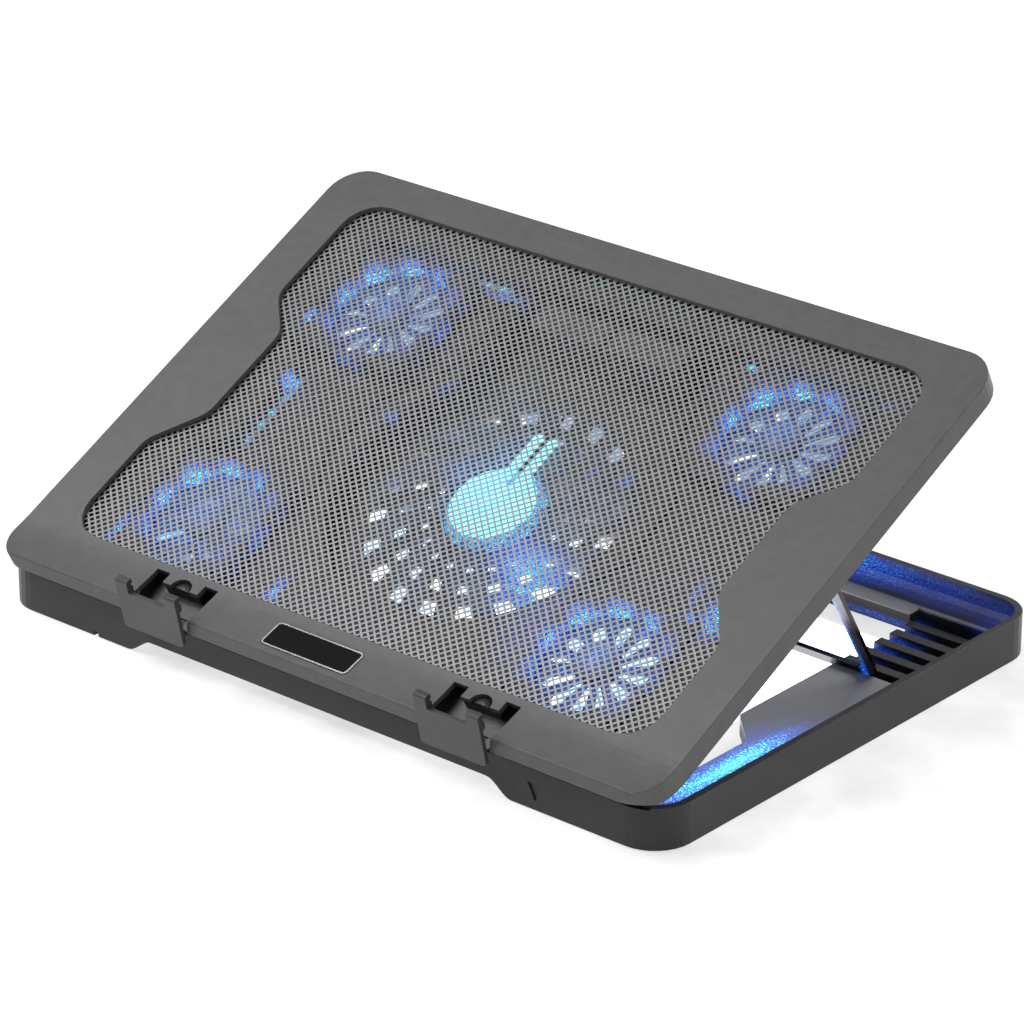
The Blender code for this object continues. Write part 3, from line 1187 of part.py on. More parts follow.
everything = list(bpy.context.scene.objects)
reach = [vertex.co.y for obj in everything for vertex in obj.data.vertices]
to_middle = Vector((0.0, -(min(reach) + max(reach)) / 2, 0.0))
for obj in everything:
    obj.data.transform(Matrix.Translation(to_middle))
for obj, axis in moving:
    hang(obj, rest(axis) + to_middle)
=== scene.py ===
"""Looks of the laptop cooling pad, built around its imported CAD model."""

import json
import math

import bmesh
import bpy
from mathutils import Matrix, Vector


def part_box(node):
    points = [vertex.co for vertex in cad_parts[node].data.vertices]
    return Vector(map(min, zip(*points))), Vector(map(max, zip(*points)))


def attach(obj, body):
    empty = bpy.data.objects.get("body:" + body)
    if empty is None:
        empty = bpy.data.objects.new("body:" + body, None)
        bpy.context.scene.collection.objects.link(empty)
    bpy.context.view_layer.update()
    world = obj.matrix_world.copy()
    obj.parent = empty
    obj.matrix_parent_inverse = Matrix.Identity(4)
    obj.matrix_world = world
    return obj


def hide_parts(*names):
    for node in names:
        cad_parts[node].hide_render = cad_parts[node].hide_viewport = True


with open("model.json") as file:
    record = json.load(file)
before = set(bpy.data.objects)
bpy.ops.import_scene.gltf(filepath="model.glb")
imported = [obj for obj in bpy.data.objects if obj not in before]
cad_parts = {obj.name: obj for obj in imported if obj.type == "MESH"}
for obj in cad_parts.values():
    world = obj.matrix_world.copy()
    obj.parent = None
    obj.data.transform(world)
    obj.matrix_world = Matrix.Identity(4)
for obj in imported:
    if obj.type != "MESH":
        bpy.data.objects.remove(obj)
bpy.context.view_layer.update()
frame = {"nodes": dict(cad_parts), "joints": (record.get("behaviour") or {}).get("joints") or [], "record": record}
NODES = frame["nodes"]
RECORD = frame["record"]
MM = 0.001

LAPTOP_REST_BACK = 140.0 * MM      # the laptop_rest mount, from the deck's rear edge
LAPTOP_REST_DROP = 0.042 * MM
HOLE_PITCH = (2.0365 * MM, 1.996 * MM)
HOLE_HALF = (1.36 * MM, 1.33 * MM)
HOLE_START = (-1.80 * MM, -0.54 * MM)
SHEET_THICK = 0.3 * MM
SHEET_INSET = 0.15 * MM
SMALL_BLADES = 7
MAIN_BLADES = 9
BLADE_THICK = 0.6 * MM
FRAME_CORNER = 15.2 * MM
FRAME_WALL = 3.2 * MM
LED_STEP = 9.0 * MM

# ---------------------------------------------------------------- frames of reference

JOINTS = {j["name"]: j for j in frame["joints"]}
UP = Vector(JOINTS["main_fan_spin"]["axis"]).normalized()
ACROSS = Vector((1.0, 0.0, 0.0))
BACKWARD = UP.cross(ACROSS).normalized()
TILT = math.atan2(BACKWARD.z, BACKWARD.y)
REST_POINT = Vector([m for m in RECORD["mounts"] if m["name"] == "laptop_rest"][0]["pos_m"])
DECK_ORIGIN = (REST_POINT - ACROSS * REST_POINT.x + BACKWARD * LAPTOP_REST_BACK
               + UP * LAPTOP_REST_DROP)
DECK = Matrix.Translation(DECK_ORIGIN) @ Matrix.Rotation(TILT, 4, "X")
TO_DECK = DECK.inverted()
BASE_LOW, BASE_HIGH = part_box("base_frame")

BLUE = (0.010, 0.045, 0.75)
CYAN = (0.06, 0.72, 1.0)


def local_box(node):
    """Lowest and highest corner of a CAD node in the deck's own frame."""
    points = [TO_DECK @ v.co for v in NODES[node].data.vertices]
    low = Vector([min(p[k] for p in points) for k in range(3)])
    high = Vector([max(p[k] for p in points) for k in range(3)])
    return low, high


# ---------------------------------------------------------------- materials

class Graph:
    """A material's node tree with short ways to add and join nodes."""

    def __init__(self, name):
        self.material = bpy.data.materials.new(name)
        self.material.use_nodes = True
        self.tree = self.material.node_tree
        self.tree.nodes.clear()

    def add(self, kind, inputs=None, **settings):
        node = self.tree.nodes.new(kind)
        for key, value in settings.items():
            setattr(node, key, value)
        for key, value in (inputs or {}).items():
            socket = node.inputs[key]
            if isinstance(value, bpy.types.NodeSocket):
                self.tree.links.new(value, socket)
            else:
                socket.default_value = value
        return node

    def math(self, operation, a, b=None, clamp=False):
        inputs = {0: a} if b is None else {0: a, 1: b}
        return self.add("ShaderNodeMath", inputs, operation=operation,
                        use_clamp=clamp).outputs[0]

    def noise(self, where, scale, detail=3.0, rough=0.55):
        return self.add("ShaderNodeTexNoise", {"Vector": where, "Scale": scale, "Detail": detail,
                                               "Roughness": rough}).outputs["Fac"]

    def spread(self, value, low, high, to_low, to_high):
        node = self.add("ShaderNodeMapRange", {"Value": value, "From Min": low, "From Max": high,
                                               "To Min": to_low, "To Max": to_high},
                        interpolation_type="SMOOTHSTEP")
        return node.outputs["Result"]

    def blend(self, factor, a, b):
        node = self.add("ShaderNodeMix", data_type="RGBA")
        for key, value in ((0, factor), (6, a), (7, b)):
            if isinstance(value, bpy.types.NodeSocket):
                self.tree.links.new(value, node.inputs[key])
            elif key:
                node.inputs[key].default_value = tuple(value) + (1.0,)
            else:
                node.inputs[key].default_value = value
        return node.outputs[2]


def scaled(colour, factor):
    return tuple(min(1.0, c * factor) for c in colour)


def painted_glow_mask(graph, where, painted_glow_spots):
    """Sum of soft round patches of painted glow, LED light spill painted as emission. Each spot is (centre, reach,
    strength).
    """
    total = None
    for centre, reach, strength in painted_glow_spots:
        inverse = [1.0 / r for r in reach]
        shift = [-c * i for c, i in zip(centre, inverse)]
        moved = graph.add("ShaderNodeVectorMath", {0: where, 1: inverse, 2: shift},
                          operation="MULTIPLY_ADD").outputs[0]
        length = graph.add("ShaderNodeVectorMath", {0: moved}, operation="LENGTH")
        part = graph.spread(length.outputs["Value"], 0.0, 1.0, strength, 0.0)
        total = part if total is None else graph.math("ADD", total, part)
    return total


def inside_gate(graph, where, gate):
    """1 inside a rounded box, 0 outside; gate is (half width, half depth, middle depth, corner)."""
    half_x, half_y, middle, corner = gate
    axes = graph.add("ShaderNodeSeparateXYZ", {0: where})
    wide = graph.math("ABSOLUTE", axes.outputs["X"])
    deep = graph.math("ABSOLUTE", graph.math("SUBTRACT", axes.outputs["Y"], middle))
    past_x = graph.math("MAXIMUM", graph.math("SUBTRACT", wide, half_x - corner), 0.0)
    past_y = graph.math("MAXIMUM", graph.math("SUBTRACT", deep, half_y - corner), 0.0)
    past = graph.add("ShaderNodeCombineXYZ", {"X": past_x, "Y": past_y})
    length = graph.add("ShaderNodeVectorMath", {0: past.outputs[0]}, operation="LENGTH")
    return graph.math("LESS_THAN", length.outputs["Value"], corner)


def surface(name, colour, rough, metal=0.0, grain=1100.0, grain_depth=0.05, tone=0.10,
            wear=0.06, edge=0.0, coat=0.0, specular=0.5, painted_glow_spots=(), on_deck=False, glow=0.0,
            speckle=0.55, glow_from=BLUE, glow_to=CYAN, clear=0.0, brushed=None, gate=None,
            gain=1.0, painted_sheen_band=None):
    """A Principled material with grain, tone and roughness variation, optional glow, optional painted glow patches
    (LED light spill painted as emission) and an optional painted sheen band.
    """
    g = Graph(name)
    where = g.add("ShaderNodeTexCoord").outputs["Object"]
    if on_deck:
        turned = Matrix.Rotation(-TILT, 4, "X") @ (-DECK_ORIGIN)
        where = g.add("ShaderNodeMapping", {"Vector": where, "Location": turned,
                                            "Rotation": (-TILT, 0.0, 0.0)}).outputs[0]
    stretched = where
    if brushed:
        stretched = g.add("ShaderNodeMapping", {"Vector": where, "Scale": brushed}).outputs[0]
    fine = g.noise(stretched, grain, 2.0)
    broad = g.noise(where, 22.0, 4.0)
    blotch = g.noise(where, 160.0, 3.0)
    shade = g.math("MULTIPLY", fine, blotch)
    mixed = g.blend(g.spread(shade, 0.12, 0.42, 0.0, 1.0), scaled(colour, 1 - tone),
                    scaled(colour, 1 + tone))
    mixed = g.blend(g.spread(broad, 0.35, 0.7, 0.0, wear), mixed, scaled(colour, 1.6))
    # Painted sheen: a paler band of colour between two heights, standing in for light reflected off the base's
    # rail floor.
    if painted_sheen_band:
        low, high, sheen_colour = painted_sheen_band
        height = g.add("ShaderNodeSeparateXYZ", {0: where}).outputs["Z"]
        band = g.math("MULTIPLY", g.spread(height, low - 0.4 * MM, low, 0.0, 1.0),
                      g.spread(height, high, high + 0.4 * MM, 1.0, 0.0))
        if gate:
            band = g.math("MULTIPLY", band, inside_gate(g, where, gate))
        mixed = g.blend(band, mixed, sheen_colour)
    rough_now = g.math("ADD", g.spread(broad, 0.3, 0.7, rough - 0.05, rough + 0.05),
                       g.spread(fine, 0.3, 0.7, -0.03, 0.03))
    inputs = {"Base Color": mixed, "Roughness": rough_now, "Metallic": metal,
              "Coat Weight": coat, "Coat Roughness": 0.08, "Specular IOR Level": specular}
    normal = None
    if edge:
        normal = g.add("ShaderNodeBevel", {"Radius": edge}, samples=4).outputs[0]
    bump_in = {"Strength": grain_depth, "Distance": 0.0004, "Height": fine}
    if normal is not None:
        bump_in["Normal"] = normal
    inputs["Normal"] = g.add("ShaderNodeBump", bump_in).outputs[0]
    # Emission: the patches are painted glow, LED light spill painted onto the surface; a plain glow is lamp light
    # on the LED chips, cap and paper sheets, and painted light on the hub and LED board.
    if painted_glow_spots or glow:
        dots = g.spread(g.noise(where, 1500.0, 1.0, 0.6), 0.50, 0.66, 0.0, 1.0)
        if painted_glow_spots:
            mask = painted_glow_mask(g, where, painted_glow_spots)
            if gate:
                mask = g.math("MULTIPLY", mask, inside_gate(g, where, gate))
        else:
            mask = g.spread(broad, 0.2, 0.8, glow * 0.85, glow * 1.15)
        strength = g.math("MULTIPLY", mask, g.spread(dots, 0.0, 1.0, 1.0 - speckle, 1.0 + speckle))
        tint = g.math("ADD", g.math("MULTIPLY", dots, g.spread(mask, 0.1, 1.0, 0.2, 0.9)),
                      g.spread(mask, 0.7, 2.6, 0.0, 0.8), clamp=True)
        inputs["Emission Color"] = g.blend(tint, glow_from, glow_to)
        inputs["Emission Strength"] = g.math("MULTIPLY", strength, gain)
    shader = g.add("ShaderNodeBsdfPrincipled", inputs).outputs[0]
    if clear:
        through = g.add("ShaderNodeBsdfTransparent",
                        {"Color": tuple(scaled(colour, 1.6)) + (1.0,)}).outputs[0]
        share = g.spread(blotch, 0.3, 0.7, clear - 0.05, clear + 0.05)
        shader = g.add("ShaderNodeMixShader", {0: share, 1: shader, 2: through}).outputs[0]
    g.add("ShaderNodeOutputMaterial", {"Surface": shader})
    return g.material


def wear_material(node, material):
    """Gives a CAD node's existing slots one material."""
    owner = NODES[node]
    if not owner.material_slots:
        owner.data.materials.append(material)
    for slot in owner.material_slots:
        slot.material = material


# ---------------------------------------------------------------- painted glow layout (LED light spill painted as emission), in (x, -back, up)

def spot(x, back, up, rx, rs, rw, strength):
    return ((x * MM, -back * MM, up * MM), (rx * MM, rs * MM, rw * MM), strength)


# Painted light on the pan: reflections of the fans' LED light, painted as glow patches.
PAN_PAINTED_GLOW = [
    spot(-69, 36, -9, 24, 5, 12, 0.9), spot(112, 36, -9, 52, 5, 12, 0.9),
    spot(-57, 100, -10, 8, 15, 14, 1.2), spot(-70, 118, -10, 14, 5, 12, 0.6),
    spot(-146, 85, -10, 5, 8, 12, 1.2), spot(-131, 121, -10, 5, 7, 12, 1.2),
    spot(-146, 225, -10, 5, 14, 12, 0.9), spot(-57, 225, -10, 6, 15, 12, 1.0),
    spot(-88, 237, -9, 36, 6, 10, 1.0), spot(115, 237, -9, 30, 6, 10, 1.0),
    spot(-34, 122, -20, 14, 22, 14, 0.35), spot(74, 192, -24, 34, 46, 16, 0.50),
    spot(44, 168, -26, 26, 28, 12, 1.25), spot(28, 158, -27, 22, 18, 10, 0.9),
    spot(150, 166, -9, 12, 18, 12, 1.0), spot(132, 166, -10, 6, 24, 12, 0.7),
    spot(0, 237, -9, 60, 6, 10, 0.45),
]
for fan_x in (-112.7, 112.7):
    for fan_back in (68.5, 204.7):
        PAN_PAINTED_GLOW.append(spot(fan_x, fan_back, -14.4, 36, 36, 9, 0.42))
BASE_PAINTED_GLOW = []


def painted_base_glow(x, y, z, rx, ry, rz, strength):
    """A painted glow patch of the base (LED light spill painted as emission), in millimetres about its centre."""
    BASE_PAINTED_GLOW.append(((x * MM, y * MM, z * MM), (rx * MM, ry * MM, rz * MM), strength))


# Painted LED light on the base: glow along the rails, a cyan line at the wall base, the rear cove and the rack
# grooves.
for sign in (-1, 1):
    painted_base_glow(sign * 174, -50, 9.4, 32, 62, 5, 0.60)
    painted_base_glow(sign * 170, -52, 9.2, 8, 58, 4, 1.20)
    painted_base_glow(sign * 166, -88, 9.2, 22, 34, 5, 0.55)
    painted_base_glow(sign * 180, -20, 15, 14, 90, 10, 0.35)
    painted_base_glow(sign * 180, 122, 14, 22, 24, 13, 0.16)
for x, strength in ((-150, 0.32), (-90, 0.50), (-30, 0.50), (30, 0.50), (90, 0.48), (140, 0.20)):
    painted_base_glow(x, 134, 15, 50, 16, 13, strength)
for x in (-120, -60, 0, 60, 120):
    painted_base_glow(x, 94, 2.6, 44, 40, 3.4, 0.60)

DECK_PLASTIC = surface("deck_plastic", (0.078, 0.078, 0.080), 0.40, specular=0.36,
                       edge=0.5 * MM, grain=1500.0, grain_depth=0.10)
# Base plastic with painted LED glow patches and a painted sheen: the rail floor near 9 mm height is painted in a
# paler grey in place of reflected light.
BASE_PLASTIC = surface("base_plastic", (0.026, 0.026, 0.028), 0.36, edge=0.5 * MM,
                       grain=1500.0, grain_depth=0.10, painted_glow_spots=BASE_PAINTED_GLOW, speckle=0.35,
                       gain=1.6, specular=0.28,
                       gate=(BASE_HIGH.x - FRAME_WALL,
                             (BASE_HIGH.y - BASE_LOW.y) / 2 - FRAME_WALL,
                             (BASE_HIGH.y + BASE_LOW.y) / 2, FRAME_CORNER),
                       painted_sheen_band=(8.6 * MM, 9.4 * MM, (0.28, 0.28, 0.285)))
# Pan plastic with painted LED glow patches.
PAN_PLASTIC = surface("pan_plastic", (0.036, 0.037, 0.040), 0.42, edge=0.3 * MM,
                      painted_glow_spots=PAN_PAINTED_GLOW, on_deck=True, gain=2.8)
COVER_GREY = surface("cover_grey", (0.110, 0.110, 0.113), 0.42, edge=0.4 * MM)
# Painted light on the mesh: glow from the cap and the small fans' LEDs, painted as emission patches on the
# strands.
MESH_PAINTED_GLOW = [spot(8, 145, -3, 30, 30, 14, 0.42), spot(8, 120, -3, 14, 26, 14, 0.15),
              spot(46, 170, -3, 34, 34, 14, 0.14)]
for fan_x in (-109.0, 116.0):
    for fan_back in (72.0, 208.0):
        MESH_PAINTED_GLOW.append(spot(fan_x, fan_back, -3, 36, 36, 14, 0.11))
MESH_STEEL = surface("mesh_steel", (0.21, 0.21, 0.215), 0.40, metal=0.3, grain=900.0,
                     grain_depth=0.12, painted_glow_spots=MESH_PAINTED_GLOW, on_deck=True, speckle=0.3,
                     glow_from=(0.05, 0.35, 1.0), glow_to=(0.10, 0.80, 1.0))
PLATE_BLACK = surface("plate_black", (0.003, 0.003, 0.004), 0.06, specular=0.3,
                      grain=500.0, grain_depth=0.01, wear=0.02)
BEZEL_SILVER = surface("bezel_silver", (0.55, 0.55, 0.56), 0.25, metal=0.9,
                       brushed=(1.0, 12.0, 12.0))
AXLE_STEEL = surface("axle_steel", (0.60, 0.60, 0.61), 0.28, metal=1.0, brushed=(9.0, 9.0, 1.0))
# Dark steel stand; the patches on the arms' inner sides are painted glints of blue LED light.
STAND_STEEL = surface("stand_steel", (0.075, 0.075, 0.085), 0.17, metal=0.95, edge=0.4 * MM,
                      grain=400.0, grain_depth=0.04, brushed=(0.3, 3.0, 3.0),
                      speckle=0.3, painted_glow_spots=[((side * 159.6 * MM, 0.0, 0.03),
                                           (3.4 * MM, 0.4, 0.4), 0.9) for side in (-1, 1)])
PIN_STEEL = surface("pin_steel", (0.50, 0.50, 0.51), 0.32, metal=1.0, brushed=(1.0, 8.0, 8.0))
STOPPER_PLASTIC = surface("stopper_plastic", (0.040, 0.040, 0.042), 0.40, edge=0.4 * MM,
                          grain=1500.0, grain_depth=0.10)
TRAY_PLASTIC = surface("tray_plastic", (0.010, 0.010, 0.011), 0.40, edge=0.3 * MM)
PAD_RUBBER = surface("pad_rubber", (0.020, 0.020, 0.020), 0.85, grain=700.0, grain_depth=0.3)
BOARD_GREEN = surface("board_green", (0.012, 0.110, 0.048), 0.42, coat=0.4)
PORT_STEEL = surface("port_steel", (0.62, 0.62, 0.63), 0.26, metal=1.0)
POT_BLACK = surface("pot_black", (0.020, 0.020, 0.022), 0.40)
DIAL_PLASTIC = surface("dial_plastic", (0.030, 0.030, 0.032), 0.42, edge=0.3 * MM)
WIRE_BLACK = surface("wire_black", (0.015, 0.015, 0.016), 0.50, grain=800.0, grain_depth=0.2)
LED_BLUE = surface("led_blue", (0.10, 0.35, 1.0), 0.25, glow=1.6)
# The strip's white board glows faintly blue: painted LED light spill.
LED_BOARD = surface("led_board", (0.60, 0.62, 0.66), 0.45, glow=0.15)
SCREW_STEEL = surface("screw_steel", (0.33, 0.33, 0.34), 0.34, metal=1.0)
CHIP_BLACK = surface("chip_black", (0.016, 0.016, 0.017), 0.5, grain=800.0, grain_depth=0.2)
CAP_CYAN = surface("cap_cyan", (0.10, 0.50, 0.62), 0.35, glow=2.3, speckle=0.10,
                   glow_from=(0.17, 0.90, 1.0), glow_to=(0.24, 0.95, 1.0))
# Clear rotor plastic with a painted glow patch of LED light on the main blades.
ROTOR_CLEAR = surface("rotor_clear", (0.42, 0.50, 0.60), 0.12, clear=0.86, coat=0.3,
                      painted_glow_spots=[spot(40, 168, -25, 34, 34, 14, 0.5)], on_deck=True)
# Blue hub whose speckled glow is painted LED light, not a lamp.
HUB_BLUE_PAINTED_GLOW = surface("hub_blue_painted_glow", (0.05, 0.16, 0.45), 0.28, glow=1.6, speckle=0.8,
                   glow_from=(0.01, 0.06, 0.55), glow_to=(0.05, 0.55, 0.95))

# ---------------------------------------------------------------- geometry helpers


def new_piece(name, bm, material, body, smooth=True, bevel=0.0, swaps=()):
    """Turns a bmesh drawn in the deck's frame into a piece that rides a body."""
    bmesh.ops.recalc_face_normals(bm, faces=bm.faces)
    mesh = bpy.data.meshes.new(name)
    bm.to_mesh(mesh)
    bm.free()
    mesh.transform(DECK)
    for polygon in mesh.polygons:
        polygon.use_smooth = smooth
    piece = bpy.data.objects.new(name, mesh)
    bpy.context.scene.collection.objects.link(piece)
    mesh.materials.append(material)
    if bevel:
        rounder = piece.modifiers.new("edges", "BEVEL")
        rounder.width = bevel
        rounder.segments = 2
        rounder.limit_method = "ANGLE"
        rounder.angle_limit = math.radians(40)
        if smooth:
            piece.modifiers.new("normals", "WEIGHTED_NORMAL")
    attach(piece, body)
    if swaps:
        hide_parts(*swaps)
    return piece


def lathed(bm, centre, profile, count):
    """A turned solid around the up axis; profile points are (radius, height)."""
    rings = []
    for radius, height in profile:
        if radius < 1e-7:
            rings.append([bm.verts.new((centre[0], centre[1], height))])
            continue
        ring = []
        for k in range(count):
            angle = 2 * math.pi * k / count
            ring.append(bm.verts.new((centre[0] + radius * math.cos(angle),
                                      centre[1] + radius * math.sin(angle), height)))
        rings.append(ring)
    for a, b in zip(rings, rings[1:]):
        for k in range(count):
            m = (k + 1) % count
            if len(a) == 1 and len(b) == 1:
                continue
            if len(a) == 1:
                bm.faces.new((a[0], b[m], b[k]))
            elif len(b) == 1:
                bm.faces.new((a[k], a[m], b[0]))
            else:
                bm.faces.new((a[k], a[m], b[m], b[k]))


def plate(bm, outline, low, high):
    """A flat plate from a 2-D outline."""
    bottom = [bm.verts.new((x, y, low)) for x, y in outline]
    top = [bm.verts.new((x, y, high)) for x, y in outline]
    bm.faces.new(bottom[::-1])
    bm.faces.new(top)
    for k in range(len(outline)):
        m = (k + 1) % len(outline)
        bm.faces.new((bottom[k], bottom[m], top[m], top[k]))


def block(bm, x, y, z):
    plate(bm, [(x[0], y[0]), (x[1], y[0]), (x[1], y[1]), (x[0], y[1])], z[0], z[1])


def curved_blade(bm, centre, inner, outer, phase, span, sweep, low, high, thick):
    """A thin fan blade, pitched and curved, as a closed shell."""
    rows = []
    steps = 7
    for i in range(steps + 1):
        t = i / steps
        radius = inner + (outer - inner) * t
        middle = phase + sweep * t * t
        half = span * (0.30 + 0.13 * math.sin(math.pi * min(1.0, t * 0.8 + 0.2)))
        upper = []
        lower = []
        for k in range(6):
            u = k / 5
            angle = middle + half * (2 * u - 1)
            x = centre[0] + radius * math.cos(angle)
            y = centre[1] + radius * math.sin(angle)
            lift = low + (high - low) * (u ** 1.3)
            upper.append(bm.verts.new((x, y, lift + thick / 2)))
            lower.append(bm.verts.new((x, y, lift - thick / 2)))
        rows.append(upper + lower[::-1])
    for a, b in zip(rows, rows[1:]):
        count = len(a)
        for k in range(count):
            m = (k + 1) % count
            bm.faces.new((a[k], a[m], b[m], b[k]))
    bm.faces.new(rows[0])
    bm.faces.new(rows[-1])


# ---------------------------------------------------------------- mesh grille

def inside(point, outline):
    x, y = point
    hit = False
    for (x0, y0), (x1, y1) in zip(outline, outline[1:] + outline[:1]):
        if (y0 > y) != (y1 > y) and x < (x1 - x0) * (y - y0) / (y1 - y0) + x0:
            hit = not hit
    return hit


def grille_outline(grow):
    """Outline of the mesh sheet, from its CAD node, pulled in by grow."""
    points = {}
    for vertex in NODES["mesh_grille"].data.vertices:
        p = TO_DECK @ vertex.co
        points[(round(p.x / MM, 2), round(p.y / MM, 2))] = (p.x, p.y)
    middle = [sum(p[k] for p in points.values()) / len(points) for k in range(2)]
    ring = sorted(points.values(), key=lambda p: math.atan2(p[1] - middle[1], p[0] - middle[0]))
    return [(x - math.copysign(grow, x), y - math.copysign(grow, y - middle[1]))
            for x, y in ring]


def make_grille():
    low, high = local_box("mesh_grille")
    outline = grille_outline(SHEET_INSET)
    pitch_x, pitch_y = HOLE_PITCH
    hole_x, hole_y = HOLE_HALF
    first_x, first_y = HOLE_START
    bm = bmesh.new()
    known = {}
    tested = {}

    def corner(x, y):
        key = (round(x / MM, 2), round(y / MM, 2))
        if key not in tested:
            tested[key] = inside((x, y), outline)
        return key if tested[key] else None

    def face(points):
        keys = [corner(x, y) for x, y in points]
        if None in keys:
            return
        verts = []
        for key, (x, y) in zip(keys, points):
            if key not in known:
                known[key] = bm.verts.new((x, y, high.z))
            verts.append(known[key])
        bm.faces.new(verts)

    for i in range(int(low.x / pitch_x) - 2, int(high.x / pitch_x) + 3):
        for j in range(int(low.y / pitch_y) - 2, int(high.y / pitch_y) + 3):
            x = first_x + i * pitch_x
            y = first_y + j * pitch_y
            if (i + j) % 2 == 0:
                face([(x + hole_x, y), (x + pitch_x, y + pitch_y - hole_y),
                      (x + pitch_x - hole_x, y + pitch_y), (x, y + hole_y)])
                face([(x, y + hole_y), (x - pitch_x + hole_x, y + pitch_y),
                      (x - pitch_x, y + pitch_y - hole_y), (x - hole_x, y)])
            else:
                face([(x + pitch_x - hole_x, y), (x, y + pitch_y - hole_y),
                      (x - pitch_x + hole_x, y), (x, y - pitch_y + hole_y)])
    piece = new_piece("mesh_sheet", bm, MESH_STEEL, "deck", smooth=False,
                      swaps=("mesh_grille",))
    thick = piece.modifiers.new("sheet", "SOLIDIFY")
    thick.thickness = SHEET_THICK
    thick.offset = -1.0
    up = sum((p.normal.dot(UP) for p in piece.data.polygons[:50]))
    if up < 0:
        piece.data.flip_normals()
    return piece


# ---------------------------------------------------------------- fans

def fan_painted_glow(centre, top):
    """Painted glow for one small fan: a blue crescent on the duct wall and speckle near the hub, LED light painted
    as emission.
    """
    x, y = centre
    found = []
    for angle, strength in ((70, 0.9), (105, 1.15), (140, 1.2), (175, 0.9), (210, 0.55),
                            (35, 0.75), (0, 0.45), (-35, 0.4), (-90, 0.35)):
        a = math.radians(angle)
        found.append(((x + 28 * MM * math.cos(a), y + 28 * MM * math.sin(a), top - 4 * MM),
                      (12 * MM, 12 * MM, 9 * MM), strength))
    return found


def make_small_fan(word):
    body = "fan_rotor_" + word
    low, high = local_box(body)
    joint = TO_DECK @ Vector(JOINTS["fan_spin_" + word]["pos_m"])
    centre = (joint.x, joint.y)
    # Painted LED light on this fan's frame, hub and blades, as emission patches; dim scales it per fan.
    painted_glow_spots = fan_painted_glow(centre, high.z)
    dim = 1.0 if word.startswith("rear") or word.endswith("right") else 1.1
    painted_glow_spots = [(c, r, s * dim) for c, r, s in painted_glow_spots]
    frame_look = surface("fan_frame_" + word, (0.055, 0.060, 0.085), 0.34, edge=0.3 * MM,
                         painted_glow_spots=painted_glow_spots, on_deck=True, gain=3.6)
    wear_material("fan_frame_" + word, frame_look)
    crown = high.z
    deep = low.z + 0.35 * MM
    hub = bmesh.new()
    lathed(hub, centre, [(1.9 * MM, deep), (10.4 * MM, deep), (10.9 * MM, deep + 0.5 * MM),
                         (10.9 * MM, crown - 1.1 * MM), (10.5 * MM, crown - 0.45 * MM),
                         (9.7 * MM, crown - 0.12 * MM), (8.6 * MM, crown - 0.05 * MM),
                         (8.2 * MM, crown - 0.35 * MM), (4.4 * MM, crown - 0.40 * MM),
                         (4.0 * MM, crown - 0.05 * MM), (0.0, crown - 0.02 * MM),
                         (0.0, crown - 1.5 * MM), (1.9 * MM, crown - 1.8 * MM),
                         (1.9 * MM, deep)], 40)
    bmesh.ops.remove_doubles(hub, verts=hub.verts, dist=1e-7)
    hub_painted_glow = [((centre[0] - 2 * MM, centre[1] + 3 * MM, crown),
                  (15 * MM, 15 * MM, 9 * MM), 0.55)]
    hub_look = surface("fan_hub_" + word, (0.10, 0.12, 0.17), 0.30, painted_glow_spots=hub_painted_glow, on_deck=True,
                       gain=1.6)
    new_piece("fan_hub_" + word, hub, hub_look, body, swaps=(body,))
    blades = bmesh.new()
    step = 2 * math.pi / SMALL_BLADES
    for k in range(SMALL_BLADES):
        curved_blade(blades, centre, 10.6 * MM, 27.6 * MM, step * k, step, 0.5,
                     deep + 0.4 * MM, crown - 0.9 * MM, BLADE_THICK)
    blade_look = surface("fan_blade_" + word, (0.38, 0.50, 0.62), 0.10, clear=0.80,
                         painted_glow_spots=[(c, r, s * 0.55) for c, r, s in painted_glow_spots], on_deck=True)
    new_piece("fan_blades_" + word, blades, blade_look, body, swaps=(body,))


def make_main_fan():
    joint = TO_DECK @ Vector(JOINTS["main_fan_spin"]["pos_m"])
    centre = (joint.x, joint.y)
    low, high = local_box("main_fan_rotor")
    deep = low.z + 0.15 * MM
    crown = high.z
    hub = bmesh.new()
    lathed(hub, centre, [(3.4 * MM, deep), (23.4 * MM, deep), (24.0 * MM, deep + 0.5 * MM),
                         (23.6 * MM, deep + 2.0 * MM), (22.6 * MM, crown - 0.8 * MM),
                         (21.6 * MM, crown), (3.4 * MM, crown), (3.4 * MM, deep)], 72)
    bmesh.ops.remove_doubles(hub, verts=hub.verts, dist=1e-7)
    new_piece("main_hub", hub, HUB_BLUE_PAINTED_GLOW, "main_fan_rotor", swaps=("main_fan_rotor",))
    blades = bmesh.new()
    step = 2 * math.pi / MAIN_BLADES
    for k in range(MAIN_BLADES):
        curved_blade(blades, centre, 22.6 * MM, 63.2 * MM, step * k, step, 0.55,
                     deep + 0.5 * MM, crown - 0.6 * MM, BLADE_THICK)
    new_piece("main_blades", blades, ROTOR_CLEAR, "main_fan_rotor", swaps=("main_fan_rotor",))


